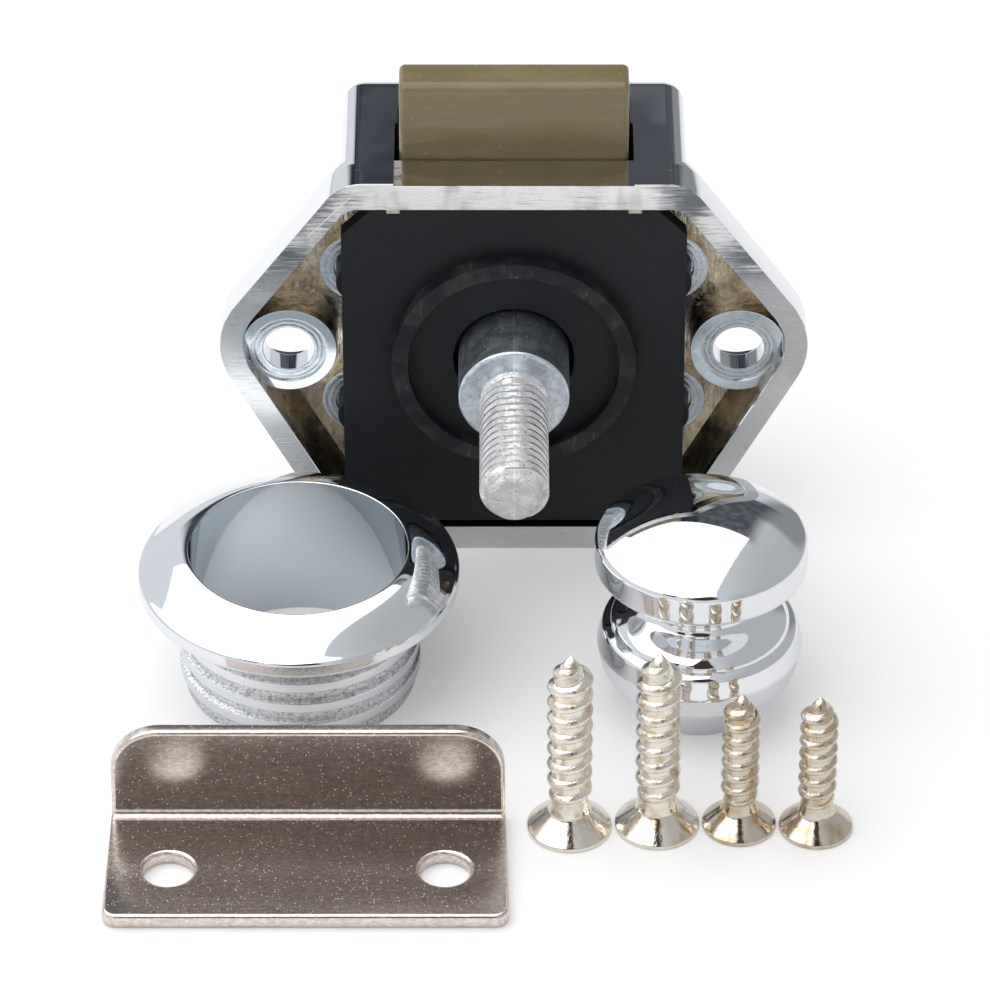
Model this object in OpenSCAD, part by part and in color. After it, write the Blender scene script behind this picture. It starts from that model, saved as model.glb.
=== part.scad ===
// Push button cabinet lock laid out with its loose pieces.
// Millimetres, Z up, X to the right, Y into the case.
// The origin is the rod axis where it crosses the rim of the case.

/* [Case] */
// Width of the rim over its two tips, before the tips are rounded
case_w = 72.4; // [71:0.1:76]
// Height of the case above the rod axis
case_top = 24.7; // [24.2:0.1:26]
// Height of the case below the rod axis
case_bottom = 27.7; // [27.4:0.1:30]
// Width of the flat top and bottom of the rim
flat_w = 40.2; // [40:0.1:41.5]
// How far the two tips sit above the rod axis
tip_raise = 2.65; // [1.5:0.05:3.5]
// Rounding of the tips
tip_round = 9.6; // [7:0.1:11]
// Rounding of the four other rim corners
corner_round = 5.2; // [4:0.1:6]
// Depth of the middle block behind the rim
case_depth = 24; // [23.9:0.1:27]
// Depth of the wings behind the rim
wing_depth = 8.8; // [8.4:0.1:9.6]
// How far the back of a wing tip draws in
tip_taper = 7; // [5:0.5:8]
// Thickness of the sloping rim walls
rim_wall = 2.7; // [2.2:0.1:3]
// Thickness of the top wall
top_wall = 3.6; // [3.2:0.1:3.8]
// Thickness of the bottom wall
bottom_wall = 3.2; // [2.8:0.1:3.3]
// Thickness of the side walls of the block
side_wall = 2.7; // [2.3:0.1:2.9]
// Thickness of the back walls of the wings
back_wall = 1.6; // [1.3:0.1:1.8]
// Thickness of the back wall of the block
block_back = 2.6; // [2.4:0.1:2.7]
// Rounding of the block's long edges
edge_round = 2.3; // [1.8:0.1:2.6]
// Rounding of the block's rear edges
rear_round = 3; // [2:0.1:3.4]

/* [Mounting bosses] */
// Distance between the two mounting holes
mount_spacing = 53; // [52:0.1:54]
// Diameter of a mounting hole
mount_hole_d = 6; // [5:0.1:6.4]
// Diameter of a boss
boss_d = 11.4; // [10.8:0.1:12]
// Diameter of the step round the hole
boss_step_d = 8.9; // [8:0.1:9.4]
// Depth of the step round the hole
boss_step = 0.35; // [0.2:0.05:0.6]
// How far the boss face sits behind the rim
boss_recess = 1.9; // [1.2:0.1:2.6]
// Length of the plain hole in a boss
hole_run = 3.4; // [3:0.1:3.6]
// Diameter of the screw head recess at the back
head_recess_d = 10; // [9.7:0.1:10.4]
// Wall round the screw head recess
recess_wall = 1.2; // [1:0.1:1.4]

/* [Guide posts] */
// Diameter of the four round posts
post_d = 9.2; // [8.6:0.1:9.6]
// Distance between the posts across the case
post_spacing_x = 36.4; // [36.2:0.1:37]
// Distance between the posts up the case
post_spacing_z = 19; // [18.5:0.1:20]
// How far the post faces sit behind the rim
post_face = 5.2; // [4.6:0.1:5.4]
// Diameter of the socket in a post
socket_d = 5.8; // [5.4:0.1:6.2]
// Depth of the socket in a post
socket_depth = 0.4; // [0.3:0.1:0.8]

/* [Front plate] */
// Width of the plate
plate_w = 40.2; // [39.6:0.1:40.6]
// Gap between the plate and the top and bottom of the rim
plate_gap = 0.4; // [0.3:0.05:0.7]
// Thickness of the plate
plate_t = 2.2; // [2:0.1:2.4]
// How far the plate face sits behind the rim
plate_set = 0.75; // [0.6:0.05:0.9]
// Corner chamfer of the plate
plate_chamfer = 3.6; // [3.5:0.1:5]
// Outside diameter of the raised ring
ring_boss_d = 28.7; // [27.5:0.1:29.5]
// Inside diameter of the raised ring
ring_boss_bore = 24.8; // [24:0.1:25.2]
// How far the raised ring stands in front of the plate
ring_boss_h = 2.15; // [1.8:0.05:2.4]
// How far the floor inside the ring stands in front of the plate
ring_floor_h = 0.65; // [0.3:0.05:0.9]
// Diameter of the rod hole
rod_hole_d = 14.2; // [13.8:0.1:14.6]
// Diameter of the four legs behind the plate
leg_d = 5.2; // [4.6:0.1:5.3]
// Width of a staked lip that holds the plate
stake_w = 1.6; // [1.2:0.1:2.4]
// How far a staked lip reaches over the plate
stake_reach = 0.65; // [0.6:0.05:0.9]
// Thickness of a staked lip
stake_t = 0.55; // [0.4:0.05:0.6]
// Distance between the two staked lips
stake_spacing = 28; // [24:0.5:30]

/* [Push rod] */
// Diameter of the piston
piston_d = 13; // [12.6:0.05:13.1]
// How far the piston stands in front of the rim
piston_front = 8; // [7.5:0.1:9]
// Rounding of the piston's front edge
piston_edge = 0.3; // [0.2:0.05:0.5]
// Gap left behind the piston when it is pushed in
piston_stop = 0.3; // [0.25:0.05:0.4]
// Diameter of the thread
thread_d = 8; // [7.8:0.05:8.1]
// Thread pitch
thread_pitch = 1.25; // [1:0.05:1.5]
// Depth of the thread
thread_depth = 0.6; // [0.4:0.05:0.7]
// Length of the rod in front of the piston
thread_l = 19.9; // [18:0.1:22]
// Chamfer at the tip of the rod
tip_chamfer = 1.5; // [1:0.1:1.8]
// Travel of the push rod
push_travel = 7; // [6.5:0.1:7]
// Diameter of the spring bore in the piston
spring_bore_d = 6.4; // [6.2:0.1:6.6]
// Depth of the spring bore in the piston
spring_bore_l = 9; // [8:0.1:9.5]

/* [Heart track] */
// Width of the track pocket
track_w = 6.2; // [6:0.1:6.4]
// Height of the track floor above the rod axis
track_floor = 4.5; // [4.3:0.1:4.6]
// Half width of the heart-shaped island
island_r = 1.1; // [0.9:0.1:1.2]
// Height of the island above the track floor
island_h = 1.3; // [1.1:0.1:1.5]
// Distance of the lever tip from the middle of the track
lane = 2; // [1.9:0.05:2.1]
// Gap between the lever tip and the ends of the pocket
track_gap = 0.5; // [0.4:0.05:0.6]

/* [Cam slider] */
// Half width of the slider
slider_half_w = 8.6; // [8.4:0.1:8.7]
// Bottom of the slider below the rod axis
slider_bottom = 7.3; // [7.2:0.1:7.4]
// Top of the slider above the rod axis
slider_top = 9.6; // [9.2:0.1:9.8]
// Gap between the pulled slider and the plate
slider_front_gap = 0.45; // [0.35:0.05:0.6]
// Gap between the slider and the back of the block
slider_rear_gap = 0.4; // [0.3:0.05:0.5]
// Thickness of the slider's rear wall
slider_wall = 1.1; // [1:0.1:1.2]
// Radial running clearance of the piston
piston_clear = 0.08; // [0.05:0.01:0.1]
// Travel of the slider when the knob is pulled
pull_travel = 4.6; // [4.2:0.1:4.7]
// Height of the lever floor above the rod axis
lever_floor = 6.9; // [6.8:0.05:7]
// Half width of the lever chamber
chamber_half_w = 4.4; // [4.2:0.1:4.8]
// Width of a slanted rib
rib_w = 2; // [1.8:0.1:2.2]
// Length of a slanted rib
rib_l = 5; // [4.5:0.1:5.2]
// How far a rib stands out of the slider
rib_out = 2; // [1.6:0.1:2.2]

/* [Tracking lever] */
// Distance from the lever pivot to its tip
lever_l = 8.4; // [8.2:0.1:8.6]
// Distance from the lever pivot to the back of the slider
pivot_inset = 2.25; // [2.1:0.05:2.4]
// Diameter of the lever tip
lever_tip_d = 1; // [0.8:0.05:1.1]
// Thickness of the lever
lever_t = 0.9; // [0.7:0.05:1]
// Width of the lever arm
lever_w = 1.4; // [1.2:0.1:1.6]
// Diameter of the lever eye
lever_eye_d = 3.2; // [3:0.1:3.4]
// Diameter of the pivot
pivot_d = 1.5; // [1.3:0.05:1.7]
// Diameter of the pivot head
pivot_head_d = 2.6; // [2.3:0.1:2.8]
// Thickness of the pivot head
pivot_head_t = 0.6; // [0.4:0.05:0.8]
// Radial running clearance of the pivot
pivot_clear = 0.05; // [0.03:0.01:0.1]
// Gap above and below the lever
lever_gap = 0.1; // [0.08:0.01:0.15]
// Gap between the lever tip and the track floor
tip_gap = 0.3; // [0.2:0.05:0.4]

/* [Latch bolt] */
// Width of the bolt
bolt_w = 26.6; // [26:0.1:26.6]
// Front face of the bolt behind the rim
bolt_front = 5.7; // [5.6:0.1:5.9]
// Depth of the bolt from front to back
bolt_depth = 10.6; // [10.2:0.1:11]
// How far the bolt stands out of the case
bolt_out = 9.6; // [9.5:0.1:10.5]
// Depth of the flat on top of the bolt
bolt_top_flat = 4; // [3.5:0.1:4.5]
// Edge break at the front of the top
bolt_edge = 1.25; // [0.8:0.05:1.6]
// How far below the case top the slanted back starts
bolt_slant_start = 0.4; // [0.3:0.1:0.8]
// Travel of the bolt into the case
bolt_travel = 9.2; // [8.6:0.1:9.3]
// Bottom of the bolt below the rod axis
bolt_bottom = 13.4; // [13:0.1:14]
// Side gap between the bolt and its slot
slot_side_gap = 0.6; // [0.4:0.05:0.7]
// Depth of the wide front part of the slot
slot_wide_l = 7.2; // [6:0.1:8]
// Gap at the front, the back and the rear corners of the slot
slot_gap = 0.3; // [0.25:0.05:0.4]
// Depth of the relief in the strip in front of the slot
strip_relief = 0.3; // [0.2:0.05:0.5]
// Gap round the slider in the bolt window
window_gap = 0.3; // [0.25:0.05:0.4]

/* [Springs] */
// Distance between the two bolt springs
spring_spacing = 17; // [16:0.1:18]
// Outside diameter of a bolt spring
bolt_spring_d = 4.6; // [4.2:0.1:4.8]
// Wire diameter of a bolt spring
bolt_spring_wire = 0.55; // [0.45:0.01:0.6]
// Coils of a bolt spring
bolt_spring_coils = 8; // [6:1:9]
// Depth of a spring pocket in the bolt
pocket_depth = 4.6; // [4.2:0.1:4.8]
// Radial gap between a spring and its pocket
pocket_gap = 0.5; // [0.4:0.05:0.6]
// Outside diameter of the rod spring
rod_spring_d = 5.4; // [5:0.1:5.6]
// Wire diameter of the rod spring
rod_spring_wire = 0.6; // [0.5:0.02:0.7]
// Coils of the rod spring
rod_spring_coils = 10; // [8:1:11]

/* [Rosette] */
// Outside diameter of the rosette
rosette_d = 37.2; // [36:0.1:39]
// Diameter of the opening
rosette_bore = 25.3; // [24.8:0.1:25.6]
// Total height of the rosette
rosette_h = 18.5; // [17.5:0.1:20]
// Rise of the sloping face
rosette_rise = 2.9; // [2.4:0.1:3.4]
// Height of the outer band
rosette_band = 2; // [1.6:0.1:2.4]
// Diameter of the barrel
barrel_d = 28; // [27.7:0.1:28.4]
// Distance from one barb to the next
barb_pitch = 2.9; // [2.7:0.05:3]
// Depth of the grooves between the barbs
barb_depth = 0.55; // [0.3:0.05:0.7]
// Rosette position across
rosette_x = -24.9; // [-27:0.1:-24.5]
// Rosette position in front of the case
rosette_y = -24.4; // [-27:0.1:-24.2]

/* [Knob] */
// Diameter of the cap
cap_d = 24.4; // [23.8:0.1:24.6]
// Height of the dome
dome_h = 3.5; // [3:0.1:4]
// Height of the cap band
cap_band = 3.75; // [3.4:0.05:4]
// Height of the waist
waist_h = 8.5; // [8:0.1:9]
// Diameter of the waist
waist_d = 13.6; // [12.8:0.1:14.4]
// Diameter of the lower flange
knob_flange_d = 23.7; // [23:0.1:24]
// Thickness of the lower flange
knob_flange_t = 5.4; // [5:0.1:6]
// Height of the flange's widest line above its lower face
flange_edge_h = 2.9; // [2.4:0.1:3.4]
// How far the flange draws in above and below its widest line
flange_draw = 0.6; // [0.4:0.05:0.8]
// Diameter of the spigot
spigot_d = 14.4; // [13.6:0.1:14.8]
// Length of the spigot
spigot_l = 5.8; // [5.2:0.1:6.4]
// Diameter of the threaded bore
knob_bore_d = 8.2; // [8.15:0.05:8.4]
// Depth of the threaded bore
knob_bore_l = 20; // [18:0.5:21]
// Knob position across
knob_x = 21.4; // [21:0.1:23]
// Knob position in front of the case
knob_y = -29; // [-30:0.1:-28.8]

/* [Strike plate] */
// Width of the strike at its front edge
strike_w = 45.4; // [44.6:0.1:46]
// Width of the strike at the bend
strike_bend_w = 44.5; // [43.8:0.1:44.6]
// Depth of the foot
strike_depth = 19.7; // [19:0.1:20.5]
// Height of the upright
strike_h = 13.6; // [12.5:0.1:14.5]
// Thickness of the sheet
strike_t = 1.8; // [1.5:0.1:2]
// Rounding of the upright's corners
strike_round = 5.6; // [5:0.1:7]
// Rounding of the foot's corners
strike_foot_round = 1.6; // [1:0.1:2.4]
// Rounding outside the bend
bend_round = 1.2; // [0.8:0.1:1.4]
// Fillet inside the bend
bend_fillet = 0.9; // [0.6:0.1:1.2]
// Diameter of a strike hole
strike_hole_d = 5.7; // [5:0.1:6]
// Distance between the strike holes
strike_spacing = 31; // [30:0.1:32]
// Distance from the front edge to the holes
strike_hole_in = 8.3; // [7.6:0.1:8.8]
// Strike position across
strike_x = -23.3; // [-24.5:0.1:-23]
// Front face of the upright in front of the case
strike_y = -52.6; // [-53.5:0.1:-52]

/* [Screws] */
// Length of a lock screw
lock_screw_l = 24.6; // [23:0.1:26]
// Thread diameter of a lock screw
lock_screw_d = 5.2; // [4.8:0.05:5.4]
// Head diameter of a lock screw
lock_head_d = 9.6; // [9.2:0.1:9.6]
// Thread pitch of a lock screw
lock_pitch = 2.2; // [2:0.05:2.4]
// Length of a strike screw
strike_screw_l = 18.8; // [17.5:0.1:20]
// Thread diameter of a strike screw
strike_screw_d = 4.4; // [4:0.05:4.6]
// Head diameter of a strike screw
strike_head_d = 8.4; // [8:0.1:8.4]
// Thread pitch of a strike screw
strike_pitch = 1.8; // [1.6:0.05:2]
// Height of a screw's head edge
head_edge = 0.5; // [0.4:0.05:0.7]
// Plain neck between a screw's head and its thread
screw_neck = 1.3; // [1:0.1:1.6]
// First lock screw position across
lock_screw_x = 6.2; // [6:0.1:6.4]
// Distance between the lock screws
lock_screw_step = 9.95; // [9.9:0.05:10]
// First strike screw position across
strike_screw_x = 25.45; // [25.4:0.05:25.6]
// Distance between the strike screws
strike_screw_step = 8.7; // [8.7:0.05:9]
// Front line of the screws
screw_y = -52.6; // [-53.5:0.1:-52]
// How far the inner screws stand behind that line
screw_stagger = 0.5; // [0:0.1:1]

/* [Hidden] */
$fn = 72;
cut = 1;
table_z = -case_bottom;
case_h = case_top + case_bottom;
inner_top = case_top - top_wall;
inner_bottom = -case_bottom + bottom_wall;
tray_floor = wing_depth - back_wall;
inner_rear = case_depth - block_back;
half_inner_w = flat_w / 2 - side_wall;
rear_layers = 5;
arc_steps = 10;
draw_in = 0.8;
mid_share = 0.36;
sheet = 0.02;
wing_straight = 0.5;
block_start = 3;
wing_bend = 0.76;
tip_sharpen = 0.2;
rear_boss_d = head_recess_d + 2 * recess_wall;
stake_root = 0.5;
slider_front = plate_set + plate_t + pull_travel + slider_front_gap;
slider_rear = inner_rear - slider_rear_gap;
plate_back = plate_set + plate_t;
bolt_rear = bolt_front + bolt_depth;
bolt_top = case_top + bolt_out;
bolt_mid_y = bolt_front + bolt_depth / 2;
piston_bore_d = piston_d + 2 * piston_clear;
bore_end = slider_rear - slider_wall;
piston_rear = bore_end - push_travel - piston_stop;
window_half_w = slider_half_w + window_gap;
window_bottom = -slider_bottom - window_gap;
window_top = slider_top + window_gap + bolt_travel;
pocket_top = -bolt_bottom + pocket_depth;
rib_y = bolt_mid_y + pull_travel / 2;
rib_angle = atan(bolt_travel / pull_travel);
rod_tip = -piston_front - thread_l;
spring_seat = piston_rear - spring_bore_l;
rod_spring_l = bore_end - spring_seat;
bolt_spring_l = pocket_top - inner_bottom;
pivot_y = slider_rear - pivot_inset;
lever_tip_y = pivot_y - sqrt(lever_l * lever_l - lane * lane);
track_front = lever_tip_y - push_travel - lever_tip_d / 2 - track_gap;
track_rear = lever_tip_y + lever_tip_d / 2 + track_gap;
lever_angle = asin(lane / lever_l);
lever_under = lever_floor + lever_gap;
lever_over = lever_under + lever_t;
island_room = 0.2;
coil_rings = 8;
wire_sides = 6;

// Helpers for outlines: points run anticlockwise.
function unit(v) = v / norm(v);
function cross2(a, b) = a[0] * b[1] - a[1] * b[0];
function left_of(v) = [-v[1], v[0]];
function meet(p, u, q, v) = p + u * cross2(q - p, v) / cross2(u, v);

// Each edge of an outline moves inward by its own distance.
function inset(pts, d) = let (n = len(pts)) [
    for (i = [0 : n - 1])
        let (
            a = pts[(i + n - 1) % n],
            b = pts[i],
            c = pts[(i + 1) % n],
            u = unit(b - a),
            v = unit(c - b)
        ) meet(a + left_of(u) * d[(i + n - 1) % n], u, b + left_of(v) * d[i], v)
];

// Each corner of a convex outline is rounded by its own radius.
function rounded(pts, r) = let (n = len(pts)) [
    for (i = [0 : n - 1])
        let (
            b = pts[i],
            u = unit(pts[(i + n - 1) % n] - b),
            v = unit(pts[(i + 1) % n] - b),
            half = acos(u * v) / 2,
            mid = b + unit(u + v) * r[i] / sin(half),
            from = b + u * r[i] / tan(half) - mid,
            start = atan2(from[1], from[0]),
            sweep = 180 - 2 * half
        )
        for (k = [0 : arc_steps])
            let (a = start + sweep * k / arc_steps)
                mid + r[i] * [cos(a), sin(a)]
];

// The six corners of the case: width over the tips, half flat width, top and bottom.
function six(tip, flat, top, bottom) = [
    [-flat, bottom],
    [flat, bottom],
    [tip, tip_raise],
    [flat, top],
    [-flat, top],
    [-tip, tip_raise]
];

function six_radii(corner, tip) = [corner, corner, tip, corner, corner, tip];

// A flat outline in X and Z becomes a slab between two depths.
module slab(y0, y1) {
    translate([0, y1, 0])
        rotate([90, 0, 0])
            linear_extrude(y1 - y0)
                children();
}

// A round bar along Y between two depths.
module bar_y(d, y0, y1, x = 0, z = 0) {
    translate([x, y0, z])
        rotate([-90, 0, 0])
            cylinder(d = d, h = y1 - y0);
}

// A block between two corners.
module block(a, b) {
    translate(a)
        cube(b - a);
}

// A turned shape about the Y axis, from radius and depth pairs.
module turned_y(pts) {
    rotate([-90, 0, 0])
        rotate_extrude()
            polygon(pts);
}

outer = six(case_w / 2, flat_w / 2, case_top, -case_bottom);
walls = [bottom_wall, rim_wall, rim_wall, top_wall, rim_wall, rim_wall];
inner = inset(outer, walls);

// The outline drawn in by a share of its whole draw. The two tips draw in most.
function drawn(pts, share) = [
    for (p = pts)
        let (tip = p[1] == tip_raise)
            p - share * [sign(p[0]) * (tip ? tip_taper : draw_in), sign(p[1] - tip_raise) * draw_in]
];

// A six-sided body whose rear half draws in, most at the tips.
module tapered(pts, corner, tip, start, depth) {
    hull() {
        slab(start, depth * wing_straight)
            polygon(rounded(pts, six_radii(corner, tip)));
        for (step = [[wing_bend, mid_share], [1, 1]])
            let (y = step[0] * (depth - sheet), radii = six_radii(corner, tip * (1 - tip_sharpen * step[1])))
                slab(y, y + sheet)
                    polygon(rounded(drawn(pts, step[1]), radii));
    }
}

module wing_body() {
    tapered(outer, corner_round, tip_round, 0, wing_depth);
}

module wing_hollow() {
    tapered(inner, corner_round - rim_wall, tip_round - rim_wall, -cut, tray_floor);
}

function block_outline(d) = [
    [-flat_w / 2 + d, -case_bottom + d],
    [flat_w / 2 - d, -case_bottom + d],
    [flat_w / 2 - d, case_top - d],
    [-flat_w / 2 + d, case_top - d]
];

// The deep middle block with rounded rear edges.
module block_body() {
    hull() {
        slab(block_start, case_depth - rear_round)
            polygon(rounded(block_outline(0), [edge_round, edge_round, edge_round, edge_round]));
        for (k = [1 : rear_layers])
            let (a = 90 * k / rear_layers, d = rear_round * (1 - cos(a)), r = edge_round)
                slab(case_depth - rear_round * (1 - sin(a)) - 0.01, case_depth - rear_round * (1 - sin(a)))
                    polygon(rounded(block_outline(d), [r, r, r, r]));
    }
}

module mounting_bosses() {
    for (side = [-1, 1])
        translate([side * mount_spacing / 2, 0, 0]) {
            bar_y(boss_d, boss_recess, tray_floor + back_wall / 2);
            bar_y(rear_boss_d, tray_floor, wing_depth);
        }
}

module mounting_holes() {
    for (side = [-1, 1])
        translate([side * mount_spacing / 2, 0, 0]) {
            bar_y(mount_hole_d, -cut, wing_depth + cut);
            bar_y(boss_step_d, 0, boss_recess + boss_step);
            turned_y([
                [0, boss_recess + hole_run],
                [mount_hole_d / 2, boss_recess + hole_run],
                [head_recess_d / 2, boss_recess + hole_run + (head_recess_d - mount_hole_d) / 2],
                [head_recess_d / 2, wing_depth + cut],
                [0, wing_depth + cut]
            ]);
        }
}

module at_posts() {
    for (side = [-1, 1], row = [-1, 1])
        translate([side * post_spacing_x / 2, 0, row * post_spacing_z / 2])
            children();
}

// The posts run on to the back wall inside the block only.
module guide_posts() {
    at_posts()
        bar_y(post_d, post_face, tray_floor + back_wall / 2);
    intersection() {
        at_posts()
            bar_y(post_d, post_face, inner_rear + back_wall / 2);
        block([-flat_w / 2 + cut, post_face, inner_bottom], [flat_w / 2 - cut, case_depth, inner_top]);
    }
}

// Staked lips at the top and bottom of the rim hold the plate.
module stakes() {
    front = plate_set - stake_t;
    for (side = [-1, 1])
        translate([side * stake_spacing / 2 - stake_w / 2, 0, 0]) {
            block([0, front, inner_top - stake_reach], [stake_w, plate_set, inner_top + stake_root]);
            block([0, front, inner_bottom - stake_root], [stake_w, plate_set, inner_bottom + stake_reach]);
        }
}

module housing() {
    color("#c9ccd0") {
        difference() {
            union() {
                difference() {
                    union() {
                        wing_body();
                        block_body();
                    }
                    wing_hollow();
                    block([-half_inner_w, -cut, inner_bottom], [half_inner_w, inner_rear, inner_top]);
                }
                mounting_bosses();
                guide_posts();
            }
            mounting_holes();
            at_posts()
                bar_y(socket_d, post_face - cut, post_face + socket_depth);
            block(
                [-bolt_w / 2 - slot_side_gap, bolt_front - slot_gap, inner_top - cut],
                [bolt_w / 2 + slot_side_gap, bolt_front + slot_wide_l, case_top + cut]
            );
            block(
                [-bolt_w / 2 - slot_gap, bolt_front, inner_top - cut],
                [bolt_w / 2 + slot_gap, bolt_rear + slot_gap, case_top + cut]
            );
            block(
                [-bolt_w / 2 - slot_side_gap, -cut, case_top - strip_relief],
                [bolt_w / 2 + slot_side_gap, bolt_front, case_top + cut]
            );
        }
        stakes();
    }
}

function plate_outline() = let (
    x = plate_w / 2,
    t = inner_top - plate_gap,
    b = inner_bottom + plate_gap,
    c = plate_chamfer
) [
    [-x + c, b],
    [x - c, b],
    [x, b + c],
    [x, t - c],
    [x - c, t],
    [-x + c, t],
    [-x, t - c],
    [-x, b + c]
];

module front_plate() {
    color("#26282b")
        difference() {
            union() {
                slab(plate_set, plate_back)
                    polygon(plate_outline());
                bar_y(ring_boss_d, plate_set - ring_boss_h, plate_set + plate_t / 2);
                at_posts()
                    bar_y(leg_d, plate_back - plate_t / 2, post_face + socket_depth);
            }
            bar_y(ring_boss_bore, plate_set - ring_boss_h - cut, plate_set - ring_floor_h);
            bar_y(rod_hole_d, -2 * ring_boss_h, plate_back + cut);
        }
}

// Thread crests as pairs of radius and distance, from one end to the other.
function crests(r, depth, pitch, z0, count) = [
    for (k = [0 : count - 1])
        for (p = [[r - depth, 0.08], [r, 0.38], [r, 0.62], [r - depth, 0.92]])
            [p[0], z0 + (k + p[1]) * pitch]
];

module push_rod() {
    turns = floor((thread_l - tip_chamfer) / thread_pitch - 0.5);
    root = thread_d / 2 - thread_depth;
    color("#8d9298")
        difference() {
            turned_y(concat(
                [
                    [0, rod_tip],
                    [thread_d / 2 - tip_chamfer, rod_tip],
                    [root, rod_tip + tip_chamfer - thread_depth]
                ],
                crests(thread_d / 2, thread_depth, thread_pitch, rod_tip + tip_chamfer, turns),
                [
                    [root, -piston_front],
                    [piston_d / 2 - piston_edge, -piston_front],
                    [piston_d / 2, -piston_front + piston_edge],
                    [piston_d / 2, piston_rear],
                    [spring_bore_d / 2, piston_rear],
                    [spring_bore_d / 2, spring_seat],
                    [0, spring_seat]
                ]
            ));
            difference() {
                block([-track_w / 2, track_front, track_floor], [track_w / 2, track_rear, piston_d]);
                heart_island();
            }
        }
}

// The island is a heart seen from above: round lobes at the back, a point in front.
module heart_island() {
    front = track_front + lever_tip_d + 2 * track_gap + island_room;
    rear = track_rear - lever_tip_d - 2 * track_gap - 2 * island_room;
    lobe = island_r * 0.62;
    mid = rear - lobe;
    translate([0, 0, track_floor - cut])
        linear_extrude(island_h + cut)
            union() {
                polygon([[0, front], [island_r, mid], [0, mid + lobe / 2], [-island_r, mid]]);
                for (side = [-1, 1])
                    translate([side * (island_r - lobe), mid])
                        circle(r = lobe);
            }
}

// One slanted rib seen from the side, grown by a gap on every side and run on by a stretch.
module rib_outline(gap, run) {
    translate([rib_y, 0])
        rotate(180 - rib_angle)
            translate([-rib_l / 2 - gap, -rib_w / 2 - gap])
                square([rib_l + 2 * gap + run, rib_w + 2 * gap]);
}

// A flat outline in Y and Z becomes a slab between two places across the case.
module side_slab(x0, x1) {
    translate([x0, 0, 0])
        rotate([90, 0, 90])
            linear_extrude(x1 - x0)
                children();
}

module cam_slider() {
    color("#b9a06a")
        difference() {
            union() {
                block(
                    [-slider_half_w, slider_front, -slider_bottom],
                    [slider_half_w, slider_rear, slider_top]
                );
                side_slab(-slider_half_w - rib_out, slider_half_w + rib_out)
                    rib_outline(0, 0);
            }
            bar_y(piston_bore_d, slider_front - cut, bore_end);
            difference() {
                block(
                    [-chamber_half_w, slider_front - cut, lever_floor],
                    [chamber_half_w, slider_rear + cut, slider_top + cut]
                );
                translate([0, pivot_y, 0]) {
                    cylinder(d = pivot_d, h = lever_over + lever_gap + pivot_head_t / 2);
                    translate([0, 0, lever_over + lever_gap])
                        cylinder(d = pivot_head_d, h = pivot_head_t);
                }
            }
            block(
                [-lane - lever_tip_d, slider_front - cut, piston_d / 4],
                [lane + lever_tip_d, lever_tip_y + lever_tip_d, lever_under]
            );
        }
}

// The lever lies at an angle so that its tip stands in the right-hand lane.
module tracking_lever() {
    color("#d8d9dc")
        translate([0, pivot_y, 0])
            rotate([0, 0, lever_angle])
                difference() {
                    union() {
                        translate([0, 0, lever_under])
                            cylinder(d = lever_eye_d, h = lever_t);
                        block([-lever_w / 2, -lever_l, lever_under], [lever_w / 2, 0, lever_over]);
                        translate([0, -lever_l, lever_under])
                            cylinder(d = lever_w, h = lever_t);
                        translate([0, -lever_l, track_floor + tip_gap])
                            cylinder(d = lever_tip_d, h = lever_under - track_floor);
                    }
                    translate([0, 0, lever_under - cut])
                        cylinder(d = pivot_d + 2 * pivot_clear, h = lever_t + 2 * cut);
                }
}

// The bolt seen from the side, with a rounded front edge and a slanted back.
function bolt_side() = let (e = bolt_edge) concat(
    [
        [bolt_front, -bolt_bottom],
        [bolt_rear, -bolt_bottom],
        [bolt_rear, case_top - bolt_slant_start],
        [bolt_front + e + bolt_top_flat, bolt_top]
    ],
    [for (a = [90 : 22.5 : 180]) [bolt_front + e + e * cos(a), bolt_top - e + e * sin(a)]]
);

module latch_bolt() {
    reach = norm([pull_travel, bolt_travel]);
    groove_half_w = slider_half_w + rib_out + window_gap;
    color("#6f6238")
        difference() {
            side_slab(-bolt_w / 2, bolt_w / 2)
                polygon(bolt_side());
            block(
                [-window_half_w, bolt_front - cut, window_bottom],
                [window_half_w, bolt_rear + cut, window_top]
            );
            side_slab(-groove_half_w, groove_half_w)
                rib_outline(window_gap, reach);
            for (side = [-1, 1])
                translate([side * spring_spacing / 2, bolt_mid_y, -bolt_bottom - cut])
                    cylinder(d = bolt_spring_d + 2 * pocket_gap, h = pocket_depth + cut);
        }
}

// Points of a coil about the Z axis: radius, height, coils and wire. Its end turns lie on flats of the wire.
function coil_path(r, h, coils, wire) = let (n = coils * coil_rings, low = wire / 2 * sin(60)) [
    for (i = [0 : n])
        let (a = 360 * i / coil_rings)
            [r * cos(a), r * sin(a), low + (h - 2 * low) * i / n]
];

function coil_ring(p, a, wire) = [
    for (k = [0 : wire_sides - 1])
        let (w = wire / 2, q = 360 * k / wire_sides)
            [p[0] + w * cos(q) * cos(a), p[1] + w * cos(q) * sin(a), p[2] + w * sin(q)]
];

// One unbroken wire wound into a spring that stands on the origin.
module coil(d, h, coils, wire) {
    path = coil_path((d - wire) / 2, h, coils, wire);
    n = len(path);
    pts = [for (i = [0 : n - 1]) each coil_ring(path[i], 360 * i / coil_rings, wire)];
    w = wire_sides;
    sides = [
        for (i = [0 : n - 2], k = [0 : w - 1])
            let (a = i * w + k, b = i * w + (k + 1) % w, c = a + w, d = b + w)
            each [[a, c, b], [b, c, d]]
    ];
    ends = [
        for (k = [1 : w - 2])
            each [[0, k, k + 1], [(n - 1) * w, (n - 1) * w + k + 1, (n - 1) * w + k]]
    ];
    polyhedron(points = pts, faces = concat(sides, ends), convexity = 10);
}

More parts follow.
